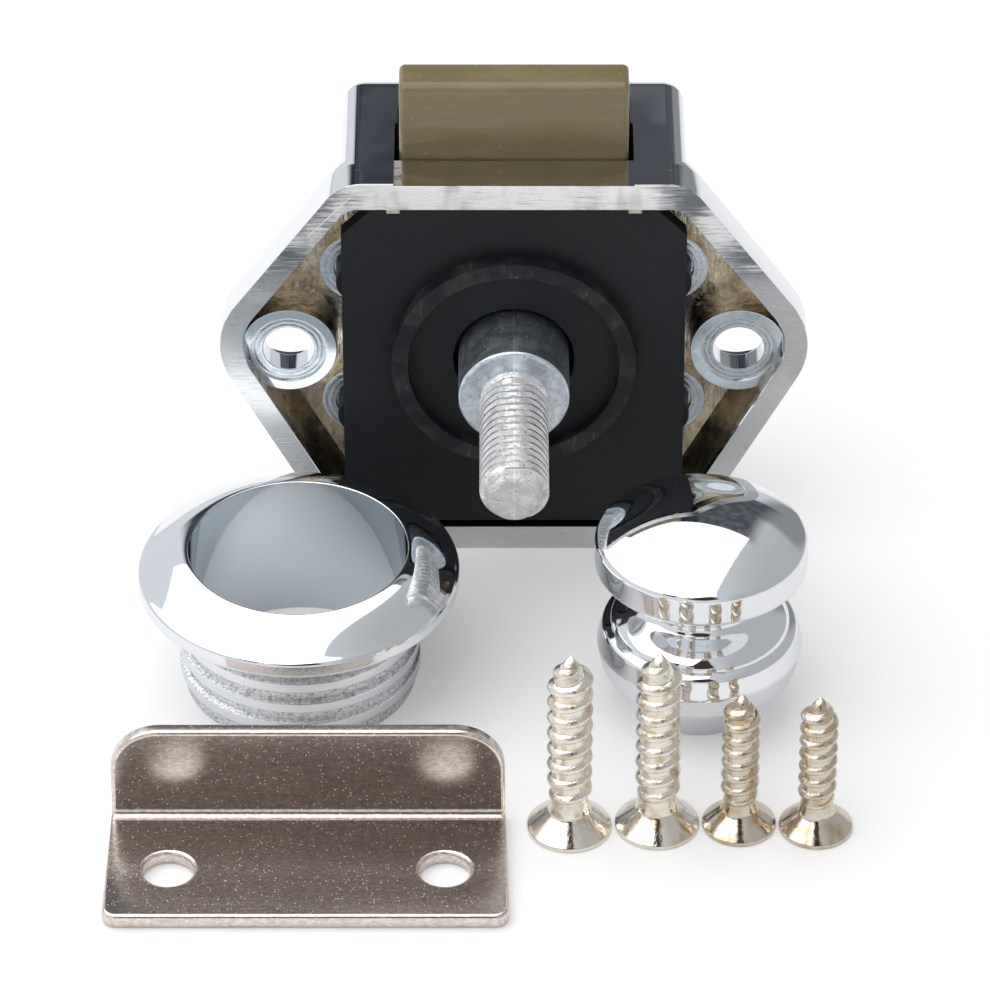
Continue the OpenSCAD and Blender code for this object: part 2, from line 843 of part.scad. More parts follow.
// Least distance between neighbouring turns, less the wire.
function coil_gap(d, h, coils, wire) = let (path = coil_path((d - wire) / 2, h, coils, wire)) min([
    for (i = [0 : len(path) - 1])
        for (j = [i + coil_rings - 1 : len(path) - 1])
            norm(path[j] - path[i])
]) - wire;

module bolt_spring(side) {
    color("#9ea2a6")
        translate([side * spring_spacing / 2, bolt_mid_y, inner_bottom])
            coil(bolt_spring_d, bolt_spring_l, bolt_spring_coils, bolt_spring_wire);
}

module bolt_spring_left() {
    bolt_spring(-1);
}

module bolt_spring_right() {
    bolt_spring(1);
}

module rod_spring() {
    color("#9ea2a6")
        translate([0, bore_end, 0])
            rotate([90, 0, 0])
                coil(rod_spring_d, rod_spring_l, rod_spring_coils, rod_spring_wire);
}

// The rosette's half section: barbed barrel, outer band, sloping face and bore.
module rosette() {
    r = rosette_d / 2;
    b = rosette_bore / 2;
    q = barrel_d / 2;
    root = q - barb_depth;
    soft = 0.5;
    lip = 0.3;
    edge = rosette_h - rosette_rise;
    under = edge - rosette_band;
    barbs = floor((under - 2 * soft) / barb_pitch);
    slope_w = r - b - lip - soft / 2;
    color("#cfd2d6")
        translate([rosette_x, rosette_y, table_z])
            rotate_extrude($fn = 120)
                polygon(concat(
                    [[b, 0], [root - soft, 0], [root, soft]],
                    [
                        for (k = [barbs : -1 : 1])
                            for (p = [[root, 0], [q, 0.08], [q, 0.52], [root, 0.6]])
                                [p[0], under + (p[1] - k) * barb_pitch]
                    ],
                    [[root, under - 2 * soft], [q, under - 1.5 * soft], [q, under], [r - soft, under]],
                    [[r, under + soft], [r, edge - soft], [r - soft / 2, edge]],
                    [
                        for (k = [1 : 7])
                            let (t = k / 8, bulge = 0.55 * sin(90 * t) + 0.45 * t)
                                [r - soft / 2 - slope_w * t, edge + rosette_rise * bulge]
                    ],
                    [[b + lip, rosette_h], [b, rosette_h - lip]]
                ));
}

// The knob's half section: spigot, lower flange, waist, cap band, dome and blind bore.
module knob() {
    r = cap_d / 2;
    s = spigot_d / 2;
    f = knob_flange_d / 2;
    w = waist_d / 2;
    c = knob_bore_d / 2;
    soft = 0.5;
    lip = 0.3;
    waist_low = spigot_l + knob_flange_t;
    waist_high = waist_low + waist_h;
    waist_run = waist_h - 2 * soft;
    dome_low = waist_high + cap_band;
    dome_r = ((r - lip) * (r - lip) + dome_h * dome_h) / (2 * dome_h);
    dome_angle = asin((r - lip) / dome_r);
    color("#cfd2d6")
        translate([knob_x, knob_y, table_z])
            rotate_extrude($fn = 96)
                polygon(concat(
                    [[c + soft, 0], [s - soft, 0], [s, soft], [s, spigot_l]],
                    [[f - flange_draw, spigot_l], [f, spigot_l + flange_edge_h]],
                    [[f - flange_draw, waist_low - lip], [f - flange_draw - lip, waist_low]],
                    [
                        for (k = [0 : 8])
                            let (flare = pow(abs(cos(22.5 * k)), 2.2))
                                [w + (f - 3 * soft - w) * flare, waist_low + soft + waist_run * k / 8]
                    ],
                    [[r - soft, waist_high], [r, waist_high + soft], [r, dome_low - lip]],
                    [[r - lip, dome_low]],
                    [
                        for (k = [1 : 10])
                            let (a = dome_angle * (1 - k / 10))
                                [dome_r * sin(a), dome_low + dome_h - dome_r * (1 - cos(a))]
                    ],
                    [[0, knob_bore_l + soft], [c, knob_bore_l], [c, soft]]
                ));
}

// The strike is a sheet bent to an L, with rounded corners and a rounded bend.
module strike_plate() {
    t = strike_t;
    foot_l = strike_depth - t;
    h = strike_h;
    soft = 0.2;
    r = bend_round;
    f = bend_fillet;
    color("#a9a39b")
        translate([strike_x, strike_y, table_z])
            difference() {
                union() {
                    linear_extrude(t)
                        polygon(rounded([
                            [-strike_w / 2, -foot_l],
                            [strike_w / 2, -foot_l],
                            [strike_bend_w / 2, t],
                            [-strike_bend_w / 2, t]
                        ], [strike_foot_round, strike_foot_round, soft, soft]));
                    slab(0, t)
                        polygon(rounded([
                            [-strike_bend_w / 2, 0],
                            [strike_bend_w / 2, 0],
                            [strike_bend_w / 2, h],
                            [-strike_bend_w / 2, h]
                        ], [soft, soft, strike_round, strike_round]));
                    side_slab(-strike_bend_w / 2, strike_bend_w / 2)
                        polygon(concat(
                            [[soft, t - soft], [soft, t + f]],
                            [for (k = [0 : 6]) [f * cos(15 * k) - f, t + f - f * sin(15 * k)]],
                            [[-f, t - soft]]
                        ));
                }
                for (side = [-1, 1])
                    translate([side * strike_spacing / 2, strike_hole_in - foot_l, -cut])
                        cylinder(d = strike_hole_d, h = t + 2 * cut);
                side_slab(-strike_w, strike_w)
                    polygon(concat(
                        [[t + cut, -cut], [t + cut, r]],
                        [for (k = [0 : 6]) [t - r + r * cos(15 * k), r - r * sin(15 * k)]],
                        [[t - r, -cut]]
                    ));
            }
}

// A wood screw standing on its head, turned about its own axis.
module wood_screw(l, d, head, pitch) {
    r = d / 2;
    core = r * 0.76;
    soft = 0.15;
    neck = head_edge + (head - d) / 2 + screw_neck;
    tip = l - d * 0.62;
    turns = floor((tip - neck) / pitch);
    step = (tip - neck) / turns;
    rotate_extrude($fn = 48)
        polygon(concat(
            [[0, 0], [head / 2 - soft, 0], [head / 2, soft], [head / 2, head_edge]],
            [[core + 2 * soft, neck - screw_neck], [core + soft, neck]],
            [
                for (k = [0 : turns - 1])
                    for (p = [[core, 0.12], [r, 0.42], [r, 0.55], [core, 0.85]])
                        [p[0], neck + (k + p[1]) * step]
            ],
            [[core, tip], [soft, l], [0, l]]
        ));
}

module lock_screws() {
    color("#c8c2b4")
        for (k = [0, 1])
            translate([lock_screw_x + k * lock_screw_step, screw_y + k * screw_stagger, table_z])
                wood_screw(lock_screw_l, lock_screw_d, lock_head_d, lock_pitch);
}

module strike_screws() {
    color("#c8c2b4")
        for (k = [0, 1])
            translate([strike_screw_x + k * strike_screw_step, screw_y + (1 - k) * screw_stagger, table_z])
                wood_screw(strike_screw_l, strike_screw_d, strike_head_d, strike_pitch);
}

echo(bolt_spring_gap = coil_gap(bolt_spring_d, bolt_spring_l, bolt_spring_coils, bolt_spring_wire));
echo(rod_spring_gap = coil_gap(rod_spring_d, rod_spring_l, rod_spring_coils, rod_spring_wire));

housing();
front_plate();
push_rod();
rod_spring();
cam_slider();
tracking_lever();
latch_bolt();
bolt_spring_left();
bolt_spring_right();
rosette();
knob();
strike_plate();
lock_screws();
strike_screws();
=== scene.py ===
# %% [markdown]
# A push button cabinet lock, laid out with its loose pieces
#
# The lock is a chrome case with a brown nylon bolt and a threaded rod. A rosette, a knob, a strike
# plate and four screws stand on the table in front of it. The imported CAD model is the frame: it says
# where every piece stands and how it moves. This lesson gives the pieces rounded edges, real
# threads and their finishes.

# %% Load the frame
import math

import bmesh
import bpy
from mathutils import Matrix, Vector


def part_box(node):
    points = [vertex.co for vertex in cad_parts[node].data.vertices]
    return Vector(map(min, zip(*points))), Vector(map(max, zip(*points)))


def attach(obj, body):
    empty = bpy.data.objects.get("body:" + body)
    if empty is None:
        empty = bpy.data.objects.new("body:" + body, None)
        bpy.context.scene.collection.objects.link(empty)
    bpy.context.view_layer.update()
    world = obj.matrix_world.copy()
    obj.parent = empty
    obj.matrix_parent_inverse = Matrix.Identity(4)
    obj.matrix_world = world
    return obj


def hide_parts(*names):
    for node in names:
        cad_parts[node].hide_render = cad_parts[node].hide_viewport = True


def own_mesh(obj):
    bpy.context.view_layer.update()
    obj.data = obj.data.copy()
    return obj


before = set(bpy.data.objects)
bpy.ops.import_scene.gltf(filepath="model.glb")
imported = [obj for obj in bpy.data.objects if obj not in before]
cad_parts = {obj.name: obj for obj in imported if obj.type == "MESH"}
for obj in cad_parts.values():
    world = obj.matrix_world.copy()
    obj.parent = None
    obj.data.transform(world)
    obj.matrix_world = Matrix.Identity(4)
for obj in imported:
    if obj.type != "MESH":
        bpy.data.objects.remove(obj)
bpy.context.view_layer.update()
MM = 0.001

# %% [markdown]
# The camera
#
# A small product is photographed from far away with a long lens, so that its edges stay almost
# parallel. The place and lens were worked out from the round pieces: a circle on the table shows as
# an ellipse, and its two widths give the camera's height.

# %% Set up the camera
CAMERA_PLACE = Vector((-2.2, -605.3, 426.5)) * MM
CAMERA_ABOVE = 36.4
CAMERA_TILT = math.radians(90 - CAMERA_ABOVE)
LENS = 229.1
SENSOR = 36

camera_data = bpy.data.cameras.new("camera")
camera_data.lens = LENS
camera_data.sensor_width = SENSOR
camera_data.clip_start = 0.05
camera_data.clip_end = 10
camera = bpy.data.objects.new("camera", camera_data)
camera.location = CAMERA_PLACE
camera.rotation_euler = (CAMERA_TILT, 0, 0)
bpy.context.scene.collection.objects.link(camera)
bpy.context.scene.camera = camera
print("the camera stands", round(CAMERA_PLACE.length, 3), "m from the rod")

# %% [markdown]
# Shader maths
#
# A finish is a small graph of nodes. Written one node at a time it is hard to read, so a socket is
# wrapped in a class that knows sums. An expression such as 1 - mask then adds the Math node itself.

# %% Wrap a socket
class Signal:
    """A shader socket that can stand in a sum. Each operator adds one Math node."""

    def __init__(self, tree, socket):
        self.tree = tree
        self.socket = socket

    def math(self, operation, *others):
        """Adds one Math node whose first input is this socket."""
        values = dict(enumerate((self, *others)))
        return node(self.tree, "ShaderNodeMath", {"operation": operation}, values)

    def __add__(self, other):
        return self.math("ADD", other)

    def __mul__(self, other):
        return self.math("MULTIPLY", other)

    def __sub__(self, other):
        return self.math("SUBTRACT", other)

    def __rsub__(self, other):
        return (self * -1) + other

    def __pow__(self, other):
        return self.math("POWER", other)

    def step(self, low, high, start=0, end=1):
        """Rises smoothly from start to end while this value goes from low to high."""
        values = {0: self, 1: low, 2: high, 3: start, 4: end}
        return node(self.tree, "ShaderNodeMapRange", {"interpolation_type": "SMOOTHSTEP"}, values)

    __radd__ = __add__
    __rmul__ = __mul__


def node(tree, kind, settings=None, values=None, output=0):
    """Adds any node: its settings first, then the values or links of its inputs."""
    made = tree.nodes.new(kind)
    for name, value in (settings or {}).items():
        setattr(made, name, value)
    for name, value in (values or {}).items():
        if isinstance(value, Signal):
            tree.links.new(value.socket, made.inputs[name])
        else:
            made.inputs[name].default_value = value
    return Signal(tree, made.outputs[output])


def mix_colours(tree, factor, low, high):
    """A colour between two colours, which the Mix node has at inputs 6 and 7 and at output 2."""
    values = {0: factor, 6: low, 7: high}
    return node(tree, "ShaderNodeMix", {"data_type": "RGBA"}, values, output=2)


# %% [markdown]
# A finish
#
# Every finish starts from the Principled shader. What is the same all over the piece is set on the
# shader's sockets, and what varies is fed in from patterns. The patterns read Object coordinates,
# so they stay on the piece when it moves, and their scale is given as the size of one grain.

# %% Make the finish builder
class Finish:
    """A material made of one Principled shader and the patterns that feed it."""

    def __init__(self, name, **constants):
        self.material = bpy.data.materials.new(name)
        self.material.use_nodes = True
        self.tree = self.material.node_tree
        self.tree.nodes.clear()
        self.shader = self.tree.nodes.new("ShaderNodeBsdfPrincipled")
        end = self.tree.nodes.new("ShaderNodeOutputMaterial")
        self.tree.links.new(self.shader.outputs[0], end.inputs[0])
        self.point = node(self.tree, "ShaderNodeTexCoord", output="Object")
        self.relief = None
        for word, value in constants.items():
            socket = word.replace("_", " ").title().replace("Ior", "IOR")
            self.shader.inputs[socket].default_value = value

    def feed(self, socket, signal):
        """Lets a pattern drive one of the shader's sockets."""
        self.tree.links.new(signal.socket, self.shader.inputs[socket])

    def place(self, grain, centre=(0, 0, 0)):
        """The point measured in grains, which may be longer one way than another, in mm."""
        sizes = grain if isinstance(grain, tuple) else (grain, grain, grain)
        values = {
            "Vector": self.point,
            "Location": [-c / s for c, s in zip(centre, sizes)],
            "Scale": [1 / (s * MM) for s in sizes],
        }
        return node(self.tree, "ShaderNodeMapping", None, values)

    def noise(self, grain, detail=2, roughness=0.5, **where):
        """A soft noise whose grains have this size in mm."""
        values = {"Vector": self.place(grain, **where), "Scale": 1, "Detail": detail}
        return node(self.tree, "ShaderNodeTexNoise", None, {**values, "Roughness": roughness})

    def specks(self, grain, size, **where):
        """Round specks: 1 inside a speck and 0 outside, with one speck to a grain."""
        values = {"Vector": self.place(grain, **where), "Scale": 1}
        return node(self.tree, "ShaderNodeTexVoronoi", None, values).step(size * 0.6, size, 1, 0)

    def axes(self):
        """The place on the piece as three numbers in mm."""
        whole = node(self.tree, "ShaderNodeSeparateXYZ", None, {0: self.place(1.0)})
        owner = whole.socket.node
        return [Signal(self.tree, owner.outputs[i]) for i in range(3)]

    def blend(self, factor, low, high):
        """A colour between two colours."""
        return mix_colours(self.tree, factor, low, high)

    def raise_surface(self, height, depth, strength=1.0):
        """Adds a bump of this depth in mm on top of the bumps there already are."""
        values = {"Height": height, "Distance": depth * MM, "Strength": strength}
        if self.relief:
            values["Normal"] = self.relief
        self.relief = node(self.tree, "ShaderNodeBump", None, values)
        self.feed("Normal", self.relief)


def grey(level, warmth=0.0):
    """A grey with more red and less blue as it gets warmer."""
    return (level * (1 + warmth), level, level * (1 - warmth), 1)


# %% [markdown]
# Chrome
#
# Bright chrome plate is a nearly perfect mirror. It looks real when it isn't quite even: the metal
# under it waves a little, a thin haze changes the roughness, and a few dust specks break it up. The
# rosette's bore gets a darker chrome colour: painted shade for the shaded inside of the ring.

# %% Polished chrome
CHROME = (0.84, 0.86, 0.885, 1)


def chrome(name, wave_depth, haze, colour=CHROME):
    """Mirror chrome with slight waves and a haze that comes and goes."""
    finish = Finish(name, metallic=1.0)
    clouds = finish.noise(5.0, detail=3)
    dust = finish.specks(1.4, 0.05)
    finish.feed("Roughness", clouds.step(0.35, 0.7, 0.035, haze) + dust * 0.3)
    finish.feed("Base Color", finish.blend(dust, colour, grey(0.62)))
    finish.raise_surface(finish.noise(6.0, detail=1), wave_depth)
    return finish


housing_chrome = chrome("housing_chrome", 0.02, 0.085)
rosette_chrome = chrome("rosette_chrome", 0.01, 0.06)
# Painted shade: the bore's chrome colour is darker, standing in for the shade inside the ring.
bore_shaded_chrome = chrome("bore_shaded_chrome", 0.012, 0.09, (0.66, 0.705, 0.735, 1))
knob_chrome = chrome("knob_chrome", 0.008, 0.055)
polished = [housing_chrome, rosette_chrome, bore_shaded_chrome, knob_chrome]
print("polished finishes:", len(polished))

# %% [markdown]
# The ground rim
#
# The open edge of the case is ground flat after casting. The wheel leaves long fine streaks, some
# white and some nearly black. The streaks are a noise stretched along X. A second noise with large
# grains makes them dense in one place and faint in another, smudges darken them softly, and one
# bright scratch crosses the upper left corner. Further down the wheel was finer, so the rim is even.

# %% Ground rim
RIM_DARK = (0.19, 0.205, 0.22, 1)
SCRATCH_X = 0.674
SCRATCH_Z = 0.74
SCRATCH_FROM_ROD = 29.42

rim_ground = Finish("rim_ground", metallic=1.0)
streaks = rim_ground.noise((5.0, 1.0, 0.3), detail=6, roughness=0.72)
fine_streaks = rim_ground.noise((2.4, 1.0, 0.08), detail=4, roughness=0.6)
ground_more = rim_ground.noise((11.0, 1.0, 7.0), detail=2)
rim_x, _, rim_z = rim_ground.axes()
on_slope = rim_x.math("ABSOLUTE").step(15, 22) * rim_z.step(0, 8, 0.5, 1)
marks = (streaks * 0.6 + fine_streaks * 0.35 + ground_more * 0.7 - on_slope * 0.15).step(0.6, 0.82)
smudges = rim_ground.noise((3.4, 1.0, 8.0), detail=2, centre=(5, 0, 0)).step(0.52, 0.7)
along_scratch = rim_x * SCRATCH_X + rim_z * SCRATCH_Z
from_scratch = (rim_x * SCRATCH_Z - rim_z * SCRATCH_X + SCRATCH_FROM_ROD).math("ABSOLUTE")
scratch_run = along_scratch.step(-3.6, -3.2) * along_scratch.step(4.0, 4.4, 1, 0)
scratch = from_scratch.step(0.04, 0.12, 1, 0) * scratch_run
ground_top = (rim_z + ground_more * 10).step(13, 19)
even_tone = (rim_z + smudges * 3).step(-5, 1, 0.66, 0.48) + (fine_streaks - 0.5) * 0.35
rim_tone = marks * (1 - smudges * 0.35) * ground_top + even_tone * (1 - ground_top)
rim_tone = rim_tone.math("MAXIMUM", scratch)
rim_ground.feed("Base Color", rim_ground.blend(rim_tone, RIM_DARK, grey(0.96)))
rim_ground.feed("Roughness", fine_streaks.step(0.3, 0.7, 0.4, 0.22))
rim_ground.raise_surface(rim_tone, 0.03, 0.7)
print("the ground rim uses", len(rim_ground.tree.nodes), "nodes")

# %% [markdown]
# The cast inside
#
# Inside the wings the casting was never polished. The plating there is thin and brown, noise patches
# of gold on it are painted glints, and the rest stays nearly black.

# %% Cast inside
CAST_BROWN = (0.5, 0.44, 0.36, 1)
GLINT_GOLD = (1.0, 0.91, 0.73, 1)

cast_inside = Finish("cast_inside", metallic=1.0)
patches = cast_inside.noise(4.6, detail=4, roughness=0.6)
ripples = cast_inside.noise((0.8, 1.2, 3.4), detail=4, roughness=0.65)
# Painted glints: where the noise rises, the brown plating turns gold, standing in for highlights.
painted_gold_glints = (patches * 0.75 + ripples * 0.25).step(0.38, 0.64)
cast_inside.feed("Base Color", cast_inside.blend(painted_gold_glints, CAST_BROWN, GLINT_GOLD))
cast_inside.feed("Roughness", patches.step(0.3, 0.7, 0.1, 0.28))
cast_inside.raise_surface(ripples, 0.26, 0.9)
print("the cast inside uses", len(cast_inside.tree.nodes), "nodes")

# %% [markdown]
# Turned faces
#
# The faces of the mounting bosses and of the posts were faced with a cutter. Its rings are centred
# on each boss, and as all of them repeat left and right, the distance is taken from the nearest one.
# The cutter went round the hole only, so outside a given radius the face is smooth and pale.

# %% Faced bosses and posts
BOSS_PALE = (0.64, 0.7, 0.735, 1)
BOSS_X = 26.5
BOSS_STEP_R = 4.45
POST_X = 18.2
POST_Z = 9.5
POST_SMOOTH_R = 5.0


def faced(name, across, up, ring, smooth_from, contrast):
    """A faced surface whose tool rings are centred on (across, up), mirrored left and right."""
    finish = Finish(name, metallic=1.0)
    x, _, z = finish.axes()
    side = x.math("ABSOLUTE") - across
    rise = z.math("ABSOLUTE") - up
    distance = (side * side + rise * rise) ** 0.5
    wear = finish.noise(0.9, detail=4, roughness=0.6)
    rings = ((distance + wear * 0.35) * (2 * math.pi / ring)).math("SINE") * 0.5 + 0.5
    smooth = distance.step(smooth_from - 0.08, smooth_from + 0.08)
    tone = (rings * 0.35 + wear * 0.65).step(0.3, 0.75) * contrast * (1 - smooth) + (1 - contrast)
    finish.feed("Base Color", finish.blend(tone + smooth * contrast, grey(0.42, -0.03), BOSS_PALE))
    finish.feed("Roughness", wear.step(0.3, 0.7, 0.16, 0.32) * (1 - smooth * 0.4))
    finish.raise_surface(rings * (1 - smooth), 0.025, 0.6)
    return finish


boss_faced = faced("boss_faced", BOSS_X, 0.0, ring=0.55, smooth_from=BOSS_STEP_R, contrast=0.6)
post_faced = faced("post_faced", POST_X, POST_Z, ring=0.7, smooth_from=POST_SMOOTH_R, contrast=0.4)
print("the boss face is smooth outside", BOSS_STEP_R, "mm")

# %% [markdown]
# Black plastic
#
# The front plate is moulded black plastic. It is matte with a fine grain, and the raised ring has
# been rubbed, so its edges are a little lighter and carry fine scratches that run round it.

# %% Front plate finish
RING_OUT = 14.35
RING_IN = 12.4
PLASTIC_BLACK = (0.0085, 0.0102, 0.0132, 1)

plate_black = Finish("plate_black", metallic=0.0, specular_ior_level=0.3)
plate_x, _, plate_z = plate_black.axes()
from_rod = (plate_x * plate_x + plate_z * plate_z) ** 0.5
past_inner_edge = from_rod.step(RING_IN - 0.3, RING_IN + 0.1)
before_outer_edge = from_rod.step(RING_OUT - 0.1, RING_OUT + 0.3, 1, 0)
on_ring = past_inner_edge * before_outer_edge
rubs = plate_black.noise((0.35, 3.0, 2.2), detail=5, roughness=0.75).step(0.56, 0.68)
grain = plate_black.noise(0.35, detail=3)
worn = plate_black.noise(3.5, detail=3).step(0.42, 0.66)
plate_marks = on_ring * (rubs * worn * 0.75 + worn * 0.18) + rubs * worn * 0.05
plate_black.feed("Base Color", plate_black.blend(plate_marks, PLASTIC_BLACK, grey(0.12)))
plate_black.feed("Roughness", grain.step(0.3, 0.7, 0.42, 0.56))
plate_black.raise_surface(grain, 0.02, 0.6)
print("the plate's ring is", round(RING_OUT - RING_IN, 2), "mm wide")

# %% [markdown]
# Nylon
#
# The bolt is moulded nylon, olive brown and a little waxy. Light goes a short way into it. Below its top
# the front is painted paler, a painted light from above, and faint flow lines and pale specks show in
# the moulding.

# %% Bolt finish
NYLON_DEEP = (0.17, 0.135, 0.064, 1)
NYLON_LIT = (0.25, 0.2, 0.1, 1)
NYLON_SPECK = (0.42, 0.38, 0.25, 1)
LIT_Z = (24, 33)
TOP_EDGE_Z = (33.4, 34.2)

bolt_nylon = Finish("bolt_nylon", metallic=0.0, subsurface_weight=0.12, subsurface_scale=0.0012)
flow = bolt_nylon.noise((9.0, 3.0, 1.6), detail=4)
pale = bolt_nylon.specks(1.5, 0.09)
tint = flow.step(0.35, 0.68) * 0.5
bolt_z = bolt_nylon.axes()[2]
# Painted light: the upper front of the bolt is paler, as light from above leaves it, and the top face
# above TOP_EDGE_Z keeps less of it.
painted_light_up = bolt_z.step(*LIT_Z) * bolt_z.step(*TOP_EDGE_Z, 1, 0.3)
tone = tint * 0.6 + painted_light_up * 0.55
nylon = bolt_nylon.blend(tone, NYLON_DEEP, NYLON_LIT)
bolt_nylon.feed("Base Color", bolt_nylon.blend(pale * 0.45, nylon, NYLON_SPECK))
bolt_nylon.feed("Roughness", flow.step(0.3, 0.7, 0.2, 0.32) + pale * 0.1)
bolt_nylon.raise_surface(bolt_nylon.noise(1.2, detail=3), 0.012, 0.4)
print("the nylon uses", len(bolt_nylon.tree.nodes), "nodes")

# %% [markdown]
# Cast zinc
#
# The rod and the slider are die-cast zinc without plating. The skin is grey with small bright and
# dark spots, and a thin seam runs along the top and bottom where the two halves of the die met. The
# cut tip of the rod is rougher.

# %% Zinc finishes
CUT_END_Y = (-27.0, -26.4)


def cast_zinc(name, level, warmth, polish, depth):
    """Grey die-cast skin with pits, bright spots and the seam of the die at x = 0."""
    finish = Finish(name, metallic=1.0)
    x, y, _ = finish.axes()
    seam = x.math("ABSOLUTE").step(0.05, 0.16, 1, 0)
    skin = finish.noise(1.6, detail=5, roughness=0.6)
    crumbs = finish.noise(0.3, detail=3, roughness=0.6)
    bright = finish.specks(0.36, 0.19)
    pits = finish.specks(0.9, 0.12, centre=(3, 1, 2))
    tone = (skin * 0.6 + crumbs * 0.4).step(0.38, 0.62)
    ground = finish.blend(tone, grey(level * 0.68, warmth), grey(level, warmth))
    lit = finish.blend(bright * 0.8 + seam * 0.6, ground, grey(0.95))
    cut_end = y.step(*CUT_END_Y, 1, 0)
    hollows = pits.math("MAXIMUM", crumbs.step(0.5, 0.62) * cut_end * 0.25)
    finish.feed("Base Color", finish.blend(hollows, lit, grey(0.2)))
    finish.feed("Metallic", 1 - bright * 0.3)
    finish.feed("Roughness", skin.step(0.3, 0.7, polish + 0.14, polish) + cut_end * 0.2)
    finish.raise_surface(skin * 0.5 + crumbs * 0.5 + bright * 0.3 - pits, depth)
    finish.raise_surface(crumbs * cut_end, 0.2)
    return finish


rod_zinc = cast_zinc("rod_zinc", 0.86, -0.09, 0.3, 0.05)
thread_zinc = cast_zinc("thread_zinc", 0.97, 0.0, 0.26, 0.16)
slider_zinc = cast_zinc("slider_zinc", 0.62, 0.06, 0.3, 0.05)
print("a zinc finish uses", len(rod_zinc.tree.nodes), "nodes")

# %% [markdown]
# Steel and nickel
#
# The strike plate is pressed steel with a satin nickel plate, warm and brownish, sprinkled with tiny
# white specks. The press has left its foot rising slightly to the front, which a bump shows. The
# screws have a brighter nickel, and their rolled threads are full of dents. The short screws are more
# tarnished than the long ones. The springs and the lever, hidden in the case, are plain steel.

# %% Nickel and steel finishes
SATIN_SHADE = (0.62, 0.545, 0.495, 1)
SATIN_LIGHT = (0.88, 0.8, 0.74, 1)
SATIN_DOT = (0.9, 0.86, 0.8, 1)
LONG_SCREW_NICKEL = (0.87, 0.815, 0.725, 1)
SHORT_SCREW_NICKEL = (0.73, 0.665, 0.56, 1)
TARNISH = (0.6, 0.47, 0.31, 1)
FOOT_RISE_FROM = -63.5
FOOT_RISE = 0.05
THREAD_FROM_Z = (-24.4, -23.6)

strike_nickel = Finish("strike_nickel", metallic=1.0)
roll = strike_nickel.noise((4.0, 0.5, 0.5), detail=4)
mottle = strike_nickel.noise((0.7, 0.35, 0.35), detail=4, roughness=0.7)
dots = strike_nickel.specks(0.42, 0.17) * strike_nickel.noise(1.1, detail=3).step(0.38, 0.6)
satin = strike_nickel.blend(mottle.step(0.34, 0.66), SATIN_SHADE, SATIN_LIGHT)
strike_nickel.feed("Base Color", strike_nickel.blend(dots, satin, SATIN_DOT))
strike_nickel.feed("Metallic", 1 - dots * 0.42)
strike_nickel.feed("Roughness", roll.step(0.3, 0.7, 0.19, 0.21) + dots * 0.2)
strike_nickel.raise_surface(dots, 0.014, 0.5)
strike_y = strike_nickel.axes()[1]
foot_rise = (FOOT_RISE_FROM - strike_y).math("SMOOTH_MAX", 0, 2.0)
strike_nickel.raise_surface(foot_rise, FOOT_RISE)


def bright_nickel(name, plating, tarnish_from):
    """Bright nickel with dents in the thread, brown where a noise rises above a level."""
    finish = Finish(name, metallic=1.0)
    dents = finish.noise(0.8, detail=4, roughness=0.6)
    tarnish = finish.noise(2.0, detail=3).step(tarnish_from, tarnish_from + 0.25)
    finish.feed("Base Color", finish.blend(tarnish, plating, TARNISH))
    on_thread = finish.axes()[2].step(*THREAD_FROM_Z)
    finish.feed("Roughness", dents.step(0.3, 0.7, 0.06, 0.15))
    finish.raise_surface(dents * (on_thread + 0.25), 0.18, 0.7)
    return finish


screw_nickel = bright_nickel("screw_nickel", LONG_SCREW_NICKEL, 0.5)
tarnished_nickel = bright_nickel("tarnished_nickel", SHORT_SCREW_NICKEL, 0.42)

spring_steel = Finish("spring_steel", metallic=1.0)
drawn = spring_steel.noise((0.3, 0.3, 0.3), detail=4)
spring_steel.feed("Base Color", spring_steel.blend(drawn.step(0.35, 0.65), grey(0.4), grey(0.58)))
spring_steel.feed("Roughness", drawn.step(0.3, 0.7, 0.22, 0.4))

lever_steel = Finish("lever_steel", metallic=1.0)
brushed = lever_steel.noise((0.15, 2.0, 0.4), detail=4)
lever_steel.feed("Base Color", lever_steel.blend(brushed.step(0.35, 0.65), grey(0.55), grey(0.72)))
lever_steel.feed("Roughness", brushed.step(0.3, 0.7, 0.2, 0.4))
print("nodes of the lever's steel:", len(lever_steel.tree.nodes))

# %% [markdown]
# Barb grooves
#
# Between the barbs of the rosette the casting is rough under its chrome, and the grooves are darker.
# The same chrome gets a strong fine bump and dark crumbs.

# %% Rough grooves
groove_rough = Finish("groove_rough", metallic=1.0)
crumbs = groove_rough.noise(0.38, detail=5, roughness=0.7)
groove_rough.feed("Base Color", groove_rough.blend(crumbs.step(0.36, 0.56), grey(0.42), CHROME))
groove_rough.feed("Roughness", crumbs.step(0.3, 0.7, 0.3, 0.14))
groove_rough.raise_surface(crumbs, 0.12, 0.7)
print("materials, with those of the frame:", len(bpy.data.materials))

# %% [markdown]
# From a bmesh to a piece
#
# Each shape is worked on as a bmesh and then becomes an object at the origin, with its place in its
# mesh. It rides on a body of the frame and hides the plain CAD node it stands for. Weighted normals
# keep the flat faces flat and let the rounded edges carry the highlights.

# %% Finish a piece
SMOOTH_BELOW = math.radians(38)


def piece(name, shape, finishes, body, node_name):
    """Makes the object, gives it its finishes and ties it to the frame."""
    mesh = bpy.data.meshes.new(name)
    shape.to_mesh(mesh)
    shape.free()
    old_normals = mesh.attributes.get("custom_normal")
    if old_normals:
        mesh.attributes.remove(old_normals)
    mesh.shade_smooth()
    mesh.set_sharp_from_angle(angle=SMOOTH_BELOW)
    for finish in finishes:
        mesh.materials.append(finish.material)
    made = bpy.data.objects.new(name, mesh)
    bpy.context.scene.collection.objects.link(made)
    weighted = made.modifiers.new("flat faces stay flat", "WEIGHTED_NORMAL")
    weighted.keep_sharp = True
    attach(made, body)
    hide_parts(node_name)
    print(name, "has", len(mesh.polygons), "faces")
    return made


